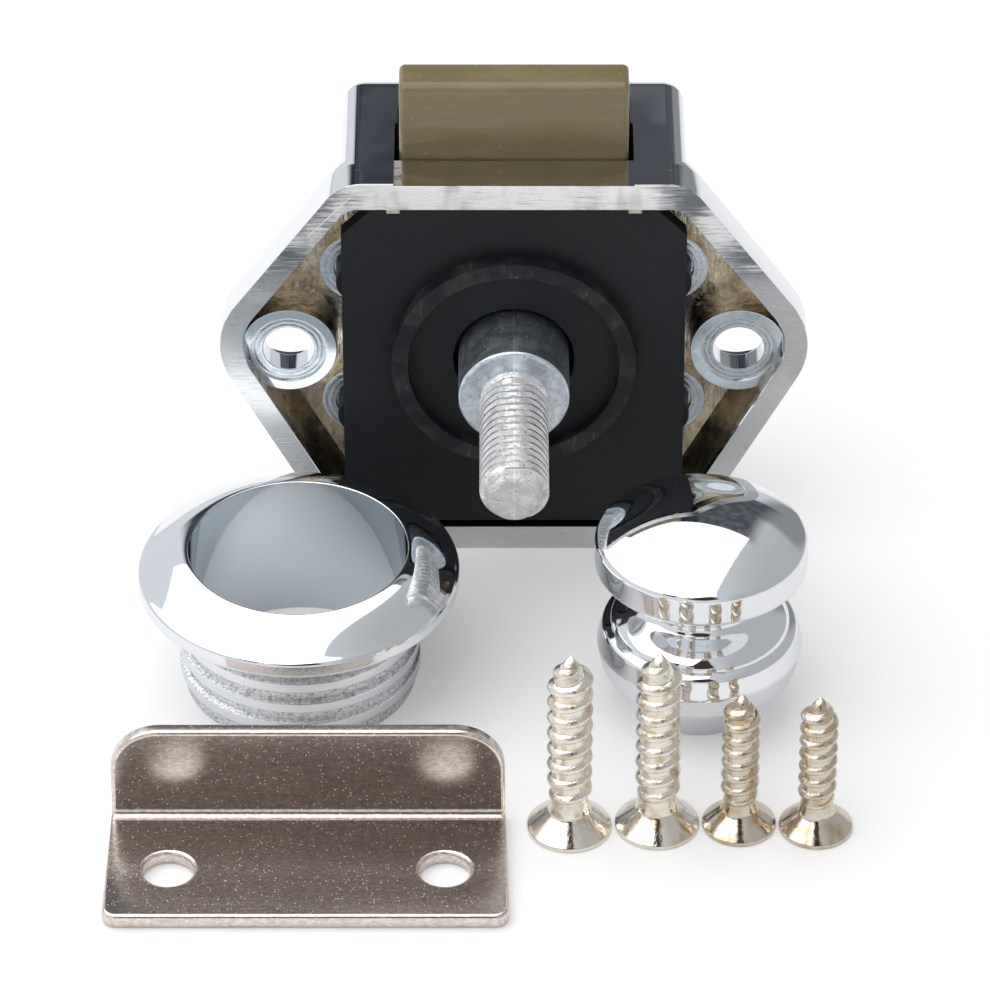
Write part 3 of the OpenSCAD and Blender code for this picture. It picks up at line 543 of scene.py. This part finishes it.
# %% [markdown]
# A softened copy
#
# A cast or moulded part has no knife edges. The CAD solid has, so a copy of its mesh is merged, its
# flat triangles are joined, and the edges that stand out are bevelled by a fraction of a millimetre.

# %% Copy and soften
def merged_copy(node_name, closer_than=0.0005):
    """The CAD node's mesh as one skin, with its flat triangles joined. Points closer than this merge."""
    shape = bmesh.new()
    shape.from_mesh(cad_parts[node_name].data)
    bmesh.ops.remove_doubles(shape, verts=shape.verts, dist=closer_than * MM)
    bmesh.ops.dissolve_limit(shape, angle_limit=math.radians(0.4), verts=shape.verts, edges=shape.edges)
    for face in shape.faces:
        face.material_index = 0
    return shape


def soften(shape, width, segments=2, sharper_than=35, wanted=lambda edge: True):
    """Bevels the convex edges that are sharper than an angle, by a width in mm."""
    limit = math.radians(sharper_than)

    def stands_out(edge):
        return len(edge.link_faces) == 2 and edge.is_convex and edge.calc_face_angle() > limit

    sharp = [edge for edge in shape.edges if stands_out(edge) and wanted(edge)]
    bmesh.ops.bevel(
        shape,
        geom=sharp,
        offset=width * MM,
        offset_type="OFFSET",
        affect="EDGES",
        segments=segments,
        profile=0.5,
        material=-1,
        clamp_overlap=False,
    )


# %% [markdown]
# The case
#
# The case is one zinc casting: an elongated six-sided tray with a deep block in the middle. The CAD
# solid has its form, so it is copied. Each face is given a finish by where it lies and which way it
# looks: the rim at the very front, the cast inside, the faced bosses and posts, and chrome. A cut
# just behind the rim lets the first strip of the inner walls stay bright. The lengths below are in
# mm and come from the CAD model: x runs to the right, y into the lock and z up.

# %% Case
CHROME_FACE, RIM_FACE, INSIDE_FACE, BOSS_FACE, POST_FACE = range(5)
TRAY_FLOOR = 7.2
TIP_X = BOSS_X + 3
TIP_DEPTH = 4.5
BRIGHT_STRIP = 0.8
RELIEF_Z = 24.4
RELIEF_EDGE = 13.0
RELIEF_HALF_W = 14
BOSS_R = 6.2
BOSS_FRONT_Y = 3
BOSS_HOLE_R = 5.2
POST_FACE_R = 4.7
POST_R = 4.8
POST_FRONT_Y = 6.2
STAKE_FROM_X = 13
STAKE_TO_X = 15
STAKE_Z = 20
SLOT_HALF_W = 14.3
SLOT_END_Y = 17
SLOT_Z = 20
JOINT_X = 15
JOINT_FROM_Y = 2.5
JOINT_TO_Y = 9
JOINT_Z = 22
RIM_DEPTH = 0.1


def in_relief(face):
    """True for the shallow step in the top wall in front of the bolt."""
    middle = face.calc_center_median() / MM
    on_level = abs(middle.z - RELIEF_Z) < 0.02
    return on_level and abs(middle.x) < RELIEF_HALF_W and face.normal.z > 0.9


def case_finish(face):
    """Which of the five finishes a face of the case has."""
    x, y, z = face.calc_center_median() / MM
    looks_x, looks_y, looks_z = face.normal
    from_boss = math.hypot(abs(x) - BOSS_X, z)
    from_post = math.hypot(abs(x) - POST_X, abs(z) - POST_Z)
    if looks_y < -0.9 and abs(y) < RIM_DEPTH:
        return RIM_FACE
    if in_relief(face) and x < -RELIEF_EDGE:
        return RIM_FACE
    if looks_y < -0.5 and from_boss < BOSS_R and y < BOSS_FRONT_Y:
        return BOSS_FACE
    if looks_y < -0.5 and from_post < POST_FACE_R and y < POST_FRONT_Y:
        return POST_FACE
    in_strip = RIM_DEPTH < y < BRIGHT_STRIP
    if STAKE_FROM_X < abs(x) < STAKE_TO_X and in_strip and abs(z) > STAKE_Z:
        return INSIDE_FACE
    if y < BRIGHT_STRIP or (from_boss < BOSS_HOLE_R and looks_y > -0.9):
        return CHROME_FACE
    behind_tip = abs(x) > TIP_X and y > TIP_DEPTH
    boss_side = from_boss < BOSS_R and y < TRAY_FLOOR and not behind_tip
    post_side = from_post < POST_R
    faces_in = x * looks_x + z * looks_z < 0 and abs(looks_y) < 0.7 and abs(z) < RELIEF_Z
    faces_front = looks_y < -0.25
    return INSIDE_FACE if boss_side or post_side or faces_in or faces_front else CHROME_FACE


def edge_stands_free(edge):
    """False for the edges of the rim, of the slot and of the joint of block and wing."""
    x, y, z = (edge.verts[0].co + edge.verts[1].co) / 2 / MM
    by_slot = abs(x) < SLOT_HALF_W and 0.2 < y < SLOT_END_Y and z > SLOT_Z
    by_joint = JOINT_FROM_Y < y < JOINT_TO_Y and abs(z) > JOINT_Z and abs(x) > JOINT_X
    return not by_slot and not by_joint and not on_rim(edge)


def on_rim(edge):
    """True for the edges of the ground rim, which stay nearly sharp."""
    return all(abs(point.co.y) < RIM_DEPTH * MM for point in edge.verts)


case = merged_copy("housing")
everywhere = case.verts[:] + case.edges[:] + case.faces[:]
behind_rim = (0, BRIGHT_STRIP * MM, 0)
bmesh.ops.bisect_plane(case, geom=everywhere, plane_co=behind_rim, plane_no=(0, 1, 0))
relief = [face for face in case.faces if in_relief(face)]
around = relief + list({edge for face in relief for edge in face.edges})
around += list({point for face in relief for point in face.verts})
strip_edge = (-RELIEF_EDGE * MM, 0, 0)
bmesh.ops.bisect_plane(case, geom=around, plane_co=strip_edge, plane_no=(1, 0, 0))
for face in case.faces:
    face.material_index = case_finish(face)
soften(case, 0.11, 2, wanted=edge_stands_free)
soften(case, 0.05, 1, wanted=on_rim)
case_finishes = [housing_chrome, rim_ground, cast_inside, boss_faced, post_faced]
piece("case_shell", case, case_finishes, "case", "housing")

# %% [markdown]
# The plate, the bolt, the strike and the hidden moving parts
#
# These are softened copies too. The bolt gets the widest rounding, because moulded nylon comes out of
# the tool with soft edges, and the small cam parts the narrowest. The bolt's window and grooves stay
# as they are, so that the slider's ribs keep their room.

# %% Plate, bolt, slider, lever and strike
plate = merged_copy("front_plate")
soften(plate, 0.14)
piece("plate", plate, [plate_black], "case", "front_plate")

BOLT_SIDE_X = 13.3
BOLT_SEEN_Z = 20
bolt = merged_copy("latch_bolt")
side_x = (BOLT_SIDE_X - 0.05) * MM
soften(bolt, 0.7, 4, wanted=lambda edge: all(abs(point.co.x) > side_x for point in edge.verts))
soften(bolt, 0.25, 2, wanted=lambda edge: all(point.co.z > BOLT_SEEN_Z * MM for point in edge.verts))
piece("bolt", bolt, [bolt_nylon], "bolt", "latch_bolt")

slider = merged_copy("cam_slider")
soften(slider, 0.12)
piece("slider_carriage", slider, [slider_zinc], "slider", "cam_slider")

lever = merged_copy("tracking_lever")
soften(lever, 0.08)
piece("lever_arm", lever, [lever_steel], "lever", "tracking_lever")

strike = merged_copy("strike_plate", 0.1)
soften(strike, 0.5, 4)
piece("strike_angle", strike, [strike_nickel], "case", "strike_plate")

# %% [markdown]
# Turned shapes
#
# The rosette, the knob, the rod and the screws are round. Half a section is drawn as a flat face, its
# corners are rounded with a vertex bevel, and its outline is spun about the Z axis.

# %% Spin a half section
def turned(corners, steps):
    """A round solid from (radius, height, rounding) corners in mm. Points on the axis stay sharp."""
    shape = bmesh.new()
    points = [shape.verts.new((radius, 0, height)) for radius, height, _ in corners]
    shape.faces.new(points)
    groups = {}
    for point, (_, _, rounding) in zip(points, corners):
        if rounding:
            groups.setdefault(rounding, []).append(point)
    for rounding, chosen in groups.items():
        bmesh.ops.bevel(
            shape,
            geom=chosen,
            offset=rounding,
            offset_type="OFFSET",
            affect="VERTICES",
            segments=5,
            profile=0.5,
            material=-1,
        )
    bmesh.ops.delete(shape, geom=shape.faces[:], context="FACES_ONLY")
    on_axis = [e for e in shape.edges if all(v.co.x < 1e-6 for v in e.verts)]
    bmesh.ops.delete(shape, geom=on_axis, context="EDGES")
    bmesh.ops.spin(
        shape,
        geom=shape.verts[:] + shape.edges[:],
        cent=(0, 0, 0),
        axis=(0, 0, 1),
        angle=2 * math.pi,
        steps=steps,
        use_merge=True,
    )
    bmesh.ops.remove_doubles(shape, verts=shape.verts, dist=1e-5)
    bmesh.ops.recalc_face_normals(shape, faces=shape.faces)
    return shape


def set_down(shape, place):
    """Scales a shape from mm to metres and puts it in its place."""
    bmesh.ops.transform(shape, matrix=place @ Matrix.Scale(MM, 4), verts=shape.verts)


# %% [markdown]
# The rosette
#
# The rosette lines the hole in the door. Its face slopes down to a rounded band, and barbs round the
# barrel bite into the wood. It stands on the table on the end of its barrel.

# %% Rosette
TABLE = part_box("housing")[0].z
ROSETTE_R = 18.6
ROSETTE_BORE_R = 12.65
ROSETTE_H = 18.5
ROSETTE_RISE = 2.9
ROSETTE_BAND = 2.0
BARREL_R = 14.0
BARB_PITCH = 2.9
BARB_DEPTH = 0.55
BARBS = 4
SLOPE_STEPS = 16
SLOPE_INSET = 0.15


def centre_of(node_name):
    """The middle of a node's footprint, on the table."""
    low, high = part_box(node_name)
    return Matrix.Translation(((low.x + high.x) / 2, (low.y + high.y) / 2, TABLE))


band_top = ROSETTE_H - ROSETTE_RISE
under = band_top - ROSETTE_BAND
barb_root = BARREL_R - BARB_DEPTH
BARB = [(barb_root, 0, 0.05), (BARREL_R, 0.25, 0.12), (BARREL_R, 1.5, 0.12), (barb_root, 1.74, 0.05)]
rosette_section = [(ROSETTE_BORE_R, 0, 0.15), (barb_root, 0, 0.4)]
for barb in range(BARBS, 0, -1):
    start = under - barb * BARB_PITCH
    for radius, height, rounding in BARB:
        rosette_section.append((radius, start + height, rounding))
rosette_section.append((barb_root, under - 1, 0.05))
rosette_section.append((BARREL_R, under - 0.75, 0.1))
rosette_section.append((BARREL_R, under, 0.15))
rosette_section.append((ROSETTE_R, under, 0.65))
rosette_section.append((ROSETTE_R, band_top, 0.35))
slope_w = ROSETTE_R - ROSETTE_BORE_R - 0.25
for k in range(1, SLOPE_STEPS):
    t = k / SLOPE_STEPS
    bulge = 0.55 * math.sin(math.pi / 2 * t) + 0.45 * t
    height = band_top + ROSETTE_RISE * bulge
    rosette_section.append((ROSETTE_R - SLOPE_INSET - slope_w * t, height, 0))
rosette_section.append((ROSETTE_BORE_R, ROSETTE_H, 0.22))

rosette = turned(rosette_section, 144)
GROOVE_FACE = 1
BORE_FACE = 2
for face in rosette.faces:
    middle = face.calc_center_median()
    radius = math.hypot(middle.x, middle.y)
    in_groove = barb_root - 0.1 < radius < BARREL_R - 0.03 and middle.z < under
    face.material_index = GROOVE_FACE if in_groove else CHROME_FACE
    if radius < ROSETTE_BORE_R + 0.01:
        face.material_index = BORE_FACE
set_down(rosette, centre_of("rosette"))
rosette_finishes = [rosette_chrome, groove_rough, bore_shaded_chrome]
piece("rosette_ring", rosette, rosette_finishes, "case", "rosette")

# %% [markdown]
# The knob
#
# The knob screws on to the rod. It has a domed cap, a narrow waist, a flange and a spigot. The waist
# is a smooth hollow between the two discs, so it is drawn with a cosine that flares at both ends.

# %% Knob
CAP_R = 12.2
DOME_H = 3.5
CAP_BAND = 3.75
WAIST_H = 8.5
WAIST_R = 6.8
FLANGE_R = 11.85
FLANGE_T = 5.4
FLANGE_WIDEST = 2.9
FLANGE_DRAW = 0.6
SPIGOT_R = 7.2
SPIGOT_L = 5.8
BORE_R = 4.1
BORE_L = 20.0
SOFT = 0.5
WAIST_STEPS = 28
FLARE_POWER = 2.2
DOME_STEPS = 24

waist_low = SPIGOT_L + FLANGE_T
waist_high = waist_low + WAIST_H
dome_low = waist_high + CAP_BAND
knob_section = [(BORE_R, 0, 0.4), (SPIGOT_R, 0, 0.4), (SPIGOT_R, SPIGOT_L, 0.1)]
knob_section.append((FLANGE_R - FLANGE_DRAW, SPIGOT_L, 0.3))
knob_section.append((FLANGE_R, SPIGOT_L + FLANGE_WIDEST, 0.3))
knob_section.append((FLANGE_R - FLANGE_DRAW, waist_low, 0.35))
for k in range(WAIST_STEPS + 1):
    flare = abs(math.cos(math.pi * k / WAIST_STEPS)) ** FLARE_POWER
    radius = WAIST_R + (FLANGE_R - 3 * SOFT - WAIST_R) * flare
    knob_section.append((radius, waist_low + SOFT + (WAIST_H - 2 * SOFT) * k / WAIST_STEPS, 0))
knob_section.append((CAP_R, waist_high, 0.55))
knob_section.append((CAP_R, dome_low, 0.6))
dome_r = (CAP_R**2 + DOME_H**2) / (2 * DOME_H)
dome_angle = math.asin(CAP_R / dome_r)
for k in range(1, DOME_STEPS + 1):
    angle = dome_angle * (1 - k / DOME_STEPS)
    height = dome_low + DOME_H - dome_r * (1 - math.cos(angle))
    knob_section.append((dome_r * math.sin(angle), height, 0))
knob_section.append((0, BORE_L + 0.5, 0))
knob_section.append((BORE_R, BORE_L, 0))

knob = turned(knob_section, 144)
set_down(knob, centre_of("knob"))
piece("knob_button", knob, [knob_chrome], "case", "knob")

# %% [markdown]
# A screw thread
#
# A thread is a ridge wound round a core. A flat section of the ridge is spun while it climbs by the
# pitch each turn. The section is drawn between 0 and 1, and afterwards each point's distance from
# the axis is worked out from its height, so that the thread follows the core and runs out at its
# ends. The ridge starts a little below the skin of the core, so that the two overlap.

# %% Wind a ridge
TURN_STEPS = 48
SUNK = 0.08


def wound_ridge(section, pitch, start, turns, core_at, depth_at):
    """A helical ridge from (place along the pitch, height of the ridge from 0 to 1) points."""
    shape = bmesh.new()
    points = [shape.verts.new((1 + height, 0, start + along * pitch)) for along, height in section]
    shape.faces.new(points)
    steps = round(turns * TURN_STEPS)
    bmesh.ops.spin(
        shape,
        geom=shape.verts[:] + shape.edges[:] + shape.faces[:],
        cent=(0, 0, 0),
        axis=(0, 0, 1),
        dvec=(0, 0, pitch / TURN_STEPS),
        angle=2 * math.pi * steps / TURN_STEPS,
        steps=steps,
        use_merge=False,
    )
    for point in shape.verts:
        marker = math.hypot(point.co.x, point.co.y)
        z = point.co.z
        radius = core_at(z) - SUNK + (depth_at(z) + SUNK) * (marker - 1)
        point.co.x *= radius / marker
        point.co.y *= radius / marker
    bmesh.ops.recalc_face_normals(shape, faces=shape.faces)
    return shape


def join_shapes(base, other):
    """Adds one bmesh to another."""
    carrier = bpy.data.meshes.new("carrier")
    other.to_mesh(carrier)
    other.free()
    base.from_mesh(carrier)
    bpy.data.meshes.remove(carrier)
    return base


def fade(z, low, high, run):
    """1 between low and high, falling to 0 over a run at both ends."""
    return max(0.0, min(1.0, (z - low) / run, (high - z) / run))


# %% [markdown]
# The rod
#
# The back of the rod is a thick piston with the track of the push mechanism cut into it, and that
# part is copied from the frame. In front of it the CAD solid only has rings, so the copy is cut off
# at the piston's face and a real thread takes their place. The two halves of the casting die leave a
# narrow flat along the top and bottom of the thread.

# %% Rod
PISTON_FRONT = 8.0
ROD_TIP = 27.9
THREAD_R = 4.0
THREAD_DEPTH = 0.6
THREAD_PITCH = 1.25
THREAD_TURNS = 14.4
DIE_FLAT = 3.62
FLAT_FROM = PISTON_FRONT + 1.2
METRIC_SECTION = [(-0.46, 0), (-0.14, 1), (0.14, 1), (0.46, 0)]

rod = merged_copy("push_rod")
everything = rod.verts[:] + rod.edges[:] + rod.faces[:]
cut_at = (0, -(PISTON_FRONT - 0.001) * MM, 0)
bmesh.ops.bisect_plane(rod, geom=everything, plane_co=cut_at, plane_no=(0, -1, 0), clear_outer=True)
open_edges = [e for e in rod.edges if e.is_boundary]
bmesh.ops.holes_fill(rod, edges=open_edges)
bmesh.ops.recalc_face_normals(rod, faces=rod.faces)
soften(rod, 0.15)

thread_root = THREAD_R - THREAD_DEPTH
core = turned(
    [
        (0, PISTON_FRONT - 0.5, 0),
        (thread_root + 0.5, PISTON_FRONT - 0.5, 0),
        (thread_root + 0.5, PISTON_FRONT, 0),
        (thread_root, PISTON_FRONT + 0.5, 0.3),
        (thread_root, ROD_TIP - 1.6, 0.4),
        (thread_root - 0.5, ROD_TIP, 0.5),
        (0, ROD_TIP, 0),
    ],
    72,
)
ridge = wound_ridge(
    METRIC_SECTION,
    THREAD_PITCH,
    PISTON_FRONT + 0.7,
    THREAD_TURNS,
    lambda z: min(thread_root, thread_root - (z - ROD_TIP + 1.4) * 0.35),
    lambda z: THREAD_DEPTH * fade(z, PISTON_FRONT + 0.1, ROD_TIP - 0.15, 1.2),
)
thread = join_shapes(core, ridge)
for point in thread.verts:
    if point.co.z > FLAT_FROM:
        point.co.y = max(-DIE_FLAT, min(DIE_FLAT, point.co.y))
set_down(thread, Matrix.Rotation(math.radians(90), 4, "X"))
piece("rod_piston", rod, [rod_zinc], "rod", "push_rod")
piece("rod_thread", thread, [thread_zinc], "rod", "push_rod")

# %% [markdown]
# The wood screws
#
# Two long screws hold the lock and two short ones the strike. All stand on their heads with the
# points up. The core narrows to the point, and the ridge narrows with it.

# %% Screws
WOOD_HALF = [(-0.32, 0), (-0.24, 0.45), (-0.12, 0.85)]
WOOD_SECTION = WOOD_HALF + [(0, 0.98)] + [(-along, height) for along, height in reversed(WOOD_HALF)]
HEAD_EDGE = 0.5
NECK = 1.3
SCREW_STEPS = 56


def wood_screw(length, thread_d, head_d, pitch):
    """A countersunk wood screw on its head, in mm."""
    r = thread_d / 2
    core_r = r * 0.79
    point_l = thread_d * 0.62
    taper_from = length - point_l
    neck = HEAD_EDGE + (head_d - thread_d) / 2 + NECK
    core_section = [
        (0, 0, 0),
        (head_d / 2, 0, 0.18),
        (head_d / 2, HEAD_EDGE, 0.12),
        (core_r + 0.3, neck - NECK, 0.25),
        (core_r + 0.1, neck, 0.2),
        (core_r, neck + 0.5, 0),
        (core_r, taper_from - 0.6, 0.5),
        (core_r * 0.62, length - point_l * 0.55, 0.5),
        (0, length, 0),
    ]

    def core_at(z):
        return core_r if z < taper_from else core_r * max(0.1, 1 - (z - taper_from) / point_l)

    def depth_at(z):
        return (r - core_r) * fade(z, neck - 0.3, length - point_l * 0.25, pitch * 0.9)

    turns = (length - point_l * 0.3 - neck) / pitch
    ridge = wound_ridge(WOOD_SECTION, pitch, neck, turns, core_at, depth_at)
    return join_shapes(turned(core_section, SCREW_STEPS), ridge)


LOCK_SCREW = (24.6, 5.2, 9.6, 2.2)
STRIKE_SCREW = (18.8, 4.4, 8.4, 1.8)
SCREW_Y = (-52.6, -52.1)
LOCK_SCREWS = {"lock_screw_a": (6.2, SCREW_Y[0]), "lock_screw_b": (16.15, SCREW_Y[1])}
STRIKE_SCREWS = {"strike_screw_a": (25.45, SCREW_Y[1]), "strike_screw_b": (34.15, SCREW_Y[0])}


def stand_screw(name, place, node_name, finish, turn, *sizes):
    """Stands one screw on the table, turned about its own axis by an angle in degrees."""
    shape = wood_screw(*sizes)
    spot = Matrix.Translation((place[0] * MM, place[1] * MM, TABLE))
    set_down(shape, spot @ Matrix.Rotation(math.radians(turn), 4, "Z"))
    piece(name, shape, [finish], "case", node_name)


for turn, (name, place) in enumerate(LOCK_SCREWS.items()):
    stand_screw(name, place, "lock_screws", screw_nickel, 40 + 25 * turn, *LOCK_SCREW)
for turn, (name, place) in enumerate(STRIKE_SCREWS.items()):
    stand_screw(name, place, "strike_screws", tarnished_nickel, 200 + 35 * turn, *STRIKE_SCREW)

# %% [markdown]
# The springs
#
# A spring is a round wire wound at an even pitch. A circle is spun while it climbs, which is what the
# coiling machine does.

# %% Springs
COIL_STEPS = 40
WIRE_SIDES = 12


def coil_spring(outer_d, wire_d, coils, length):
    """A wire wound about the Z axis from 0 to a length, in mm."""
    shape = bmesh.new()
    upright = Matrix.Rotation(math.radians(90), 4, "X")
    start = Matrix.Translation(((outer_d - wire_d) / 2, 0, wire_d / 2))
    bmesh.ops.create_circle(
        shape,
        cap_ends=True,
        cap_tris=False,
        segments=WIRE_SIDES,
        radius=wire_d / 2,
        matrix=start @ upright,
    )
    climb = (length - wire_d) / (coils * COIL_STEPS)
    bmesh.ops.spin(
        shape,
        geom=shape.verts[:] + shape.edges[:] + shape.faces[:],
        cent=(0, 0, 0),
        axis=(0, 0, 1),
        dvec=(0, 0, climb),
        angle=2 * math.pi * coils,
        steps=coils * COIL_STEPS,
        use_merge=False,
    )
    bmesh.ops.recalc_face_normals(shape, faces=shape.faces)
    return shape


def set_spring(name, node_name, axis, joint, keep, *sizes):
    """Puts a spring where its node is. The joint is not used."""
    low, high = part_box(node_name)
    middle = (low + high) / 2
    length = (high - low)[axis] / MM
    shape = coil_spring(*sizes, length)
    if axis == 2:
        foot = Vector((middle.x, middle.y, low.z))
        place = Matrix.Translation(foot)
    else:
        foot = Vector((middle.x, high.y, middle.z))
        place = Matrix.Translation(foot) @ Matrix.Rotation(math.radians(90), 4, "X")
    set_down(shape, place)
    body = "slider" if node_name == "rod_spring" else "case"
    made = piece(name, shape, [spring_steel], body, node_name)
    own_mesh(made)


BOLT_KEEP = 0.414
BOLT_COIL = (4.6, 0.55, 8)
ROD_KEEP = 0.57
ROD_COIL = (5.4, 0.6, 10)
set_spring("bolt_coil_left", "bolt_spring_left", 2, "bolt_slide", BOLT_KEEP, *BOLT_COIL)
set_spring("bolt_coil_right", "bolt_spring_right", 2, "bolt_slide", BOLT_KEEP, *BOLT_COIL)
set_spring("rod_coil", "rod_spring", 1, "rod_push", ROD_KEEP, *ROD_COIL)

# %% [markdown]
# The table
#
# The pieces stand on white paper. The paper takes the shadows, and for the camera and for mirrors it
# is lifted a little, so that away from the pieces it melts into the white background.

# %% White paper
PAPER_SIZE = 2.5
PAPER = (0.86, 0.86, 0.865, 1)
LIFT_SEEN = 0.2
LIFT_MIRRORED = 0.04

floor_shape = bmesh.new()
bmesh.ops.create_grid(floor_shape, x_segments=1, y_segments=1, size=PAPER_SIZE)
bmesh.ops.translate(floor_shape, verts=floor_shape.verts, vec=(0, 0, TABLE))
floor_mesh = bpy.data.meshes.new("table")
floor_shape.to_mesh(floor_mesh)
floor_shape.free()
table = bpy.data.objects.new("table", floor_mesh)
bpy.context.scene.collection.objects.link(table)

paper = bpy.data.materials.new("white_paper")
paper.use_nodes = True
paper_tree = paper.node_tree
paper_tree.nodes.clear()
paper_end = paper_tree.nodes.new("ShaderNodeOutputMaterial")


def light_path(tree, *kinds):
    """1 for rays of the named kinds."""
    rays = tree.nodes.new("ShaderNodeLightPath")
    total = Signal(tree, rays.outputs[kinds[0]])
    for kind in kinds[1:]:
        total = total.math("MAXIMUM", Signal(tree, rays.outputs[kind]))
    return total


seen = light_path(paper_tree, "Is Camera Ray") * LIFT_SEEN
mirrored = light_path(paper_tree, "Is Glossy Ray", "Is Transmission Ray") * LIFT_MIRRORED
matte = node(paper_tree, "ShaderNodeBsdfDiffuse", None, {"Color": PAPER})
lift = node(paper_tree, "ShaderNodeEmission", None, {"Color": PAPER, "Strength": seen + mirrored})
both = node(paper_tree, "ShaderNodeAddShader", None, {0: matte, 1: lift})
paper_tree.links.new(both.socket, paper_end.inputs[0])
floor_mesh.materials.append(paper)
print("the paper lies at", round(TABLE / MM, 1), "mm")

# %% [markdown]
# The studio
#
# Chrome has no colour of its own, it shows the room. The room here is drawn on the world by
# direction: pale walls with a shaded one on the right, a grey ceiling, a dark gap above the backdrop
# behind the lock, and in front the dark camera, its tripod and a lamp stand. The camera itself sees
# plain white, and matte surfaces get an even light, so that their colours come out as written.

# %% Studio room
room = bpy.data.worlds.new("studio")
bpy.context.scene.world = room
room.use_nodes = True
room_tree = room.node_tree
room_tree.nodes.clear()
room_end = room_tree.nodes.new("ShaderNodeOutputWorld")
looking = node(room_tree, "ShaderNodeTexCoord", output="Generated")
parts = node(room_tree, "ShaderNodeSeparateXYZ", None, {0: looking}).socket.node
look_x, look_y, look_z = [Signal(room_tree, parts.outputs[i]) for i in range(3)]

WALL = (0.74, 0.77, 0.8, 1)
CEILING = (0.62, 0.64, 0.67, 1)
GAP_DEEP = (0.022, 0.026, 0.036, 1)
GAP_PALE = (0.125, 0.13, 0.142, 1)
RIGHT_SHADE = (0.47, 0.48, 0.49, 1)
CORNER = (0.27, 0.28, 0.29, 1)
LENS_DARK = (0.055, 0.036, 0.029, 1)
STAND_DARK = (0.02, 0.02, 0.022, 1)
EVEN = 0.56
TRIPOD = (-0.29, 0.31, 0.02)
STAND = (-0.95, -0.55, 0.02)
FRONT_HEIGHT = (0.5, 0.92, 0.02)
WHITE = grey(1.0)


def room_blend(factor, low, high):
    """A colour between two colours of the room."""
    return mix_colours(room_tree, factor, low, high)


def room_band(signal, low, high, soft):
    """1 while the signal is between low and high, with soft ends."""
    return signal.step(low - soft, low + soft) * signal.step(high - soft, high + soft, 1, 0)


overhead = look_z.step(0.5, 0.9)
backdrop = look_y.step(0.3, 0.5) * room_band(look_x, -0.34, 0.38, 0.06)
gap = backdrop * room_band(look_z, 0.2, 0.76, 0.03)
smears = node(room_tree, "ShaderNodeTexNoise", None, {"Vector": looking, "Scale": 14.0, "Detail": 3})
gap_tone = smears.step(0.42, 0.68) * 0.6 + look_x.step(-0.02, 0.03) * 0.5
gap_colour = room_blend(gap_tone, GAP_DEEP, GAP_PALE)
camera_rise = math.radians(CAMERA_ABOVE)
toward_camera = Vector((0, -math.cos(camera_rise), math.sin(camera_rise)))
along_lens = look_y * toward_camera.y + look_z * toward_camera.z
lens = along_lens.step(0.955, 0.98)
in_front = look_y.step(-0.25, -0.15, 1, 0)
bearing = look_x.math("DIVIDE", look_y * -1)
tripod = in_front * room_band(bearing, *TRIPOD) * room_band(look_z, *FRONT_HEIGHT)
stand = in_front * room_band(bearing, *STAND) * room_band(look_z, *FRONT_HEIGHT)
corner = look_y.step(0.4, 0.5) * room_band(look_x, 0.3, 0.62, 0.05) * look_z.step(0.42, 0.52, 1, 0)
sky = room_blend(overhead, WALL, CEILING)
sky = room_blend(look_x.step(0.1, 0.6), sky, RIGHT_SHADE)
sky = room_blend(corner, sky, CORNER)
sky = room_blend(gap, sky, gap_colour)
sky = room_blend(lens.math("MAXIMUM", tripod), sky, LENS_DARK)
sky = room_blend(stand, sky, STAND_DARK)
mirror_light = node(room_tree, "ShaderNodeBackground", None, {"Color": sky, "Strength": 1.0})
even_light = node(room_tree, "ShaderNodeBackground", None, {"Color": WHITE, "Strength": EVEN})
white = node(room_tree, "ShaderNodeBackground", None, {"Color": WHITE, "Strength": 1.0})
shiny = light_path(room_tree, "Is Glossy Ray", "Is Transmission Ray")
inside = node(room_tree, "ShaderNodeMixShader", None, {0: shiny, 1: even_light, 2: mirror_light})
direct = light_path(room_tree, "Is Camera Ray")
view = node(room_tree, "ShaderNodeMixShader", None, {0: direct, 1: inside, 2: white})
room_tree.links.new(view.socket, room_end.inputs[0])
print("the room uses", len(room_tree.nodes), "nodes")

# %% [markdown]
# The softbox
#
# One very large soft light hangs over the table, a little to the left. It is a rectangle, and its
# edge shows on the domed knob and along the slope of the rosette.

# %% Softbox
SOFTBOX_SIZE = (0.9, 0.95)
SOFTBOX_PLACE = Vector((-0.324, 0.072, 0.5))
SOFTBOX_TURN = math.radians(-21.7)
SOFTBOX_RADIANCE = 1.45
SOFTBOX_POWER = SOFTBOX_RADIANCE * math.pi * SOFTBOX_SIZE[0] * SOFTBOX_SIZE[1]

softbox_data = bpy.data.lights.new("softbox", "AREA")
softbox_data.shape = "RECTANGLE"
softbox_data.size, softbox_data.size_y = SOFTBOX_SIZE
softbox_data.energy = SOFTBOX_POWER
softbox = bpy.data.objects.new("softbox", softbox_data)
softbox.location = SOFTBOX_PLACE
softbox.rotation_euler = (0, 0, SOFTBOX_TURN)
bpy.context.scene.collection.objects.link(softbox)
bpy.context.scene.view_settings.view_transform = "Standard"
print("the softbox hangs", round(SOFTBOX_PLACE.z / MM), "mm above the rod")
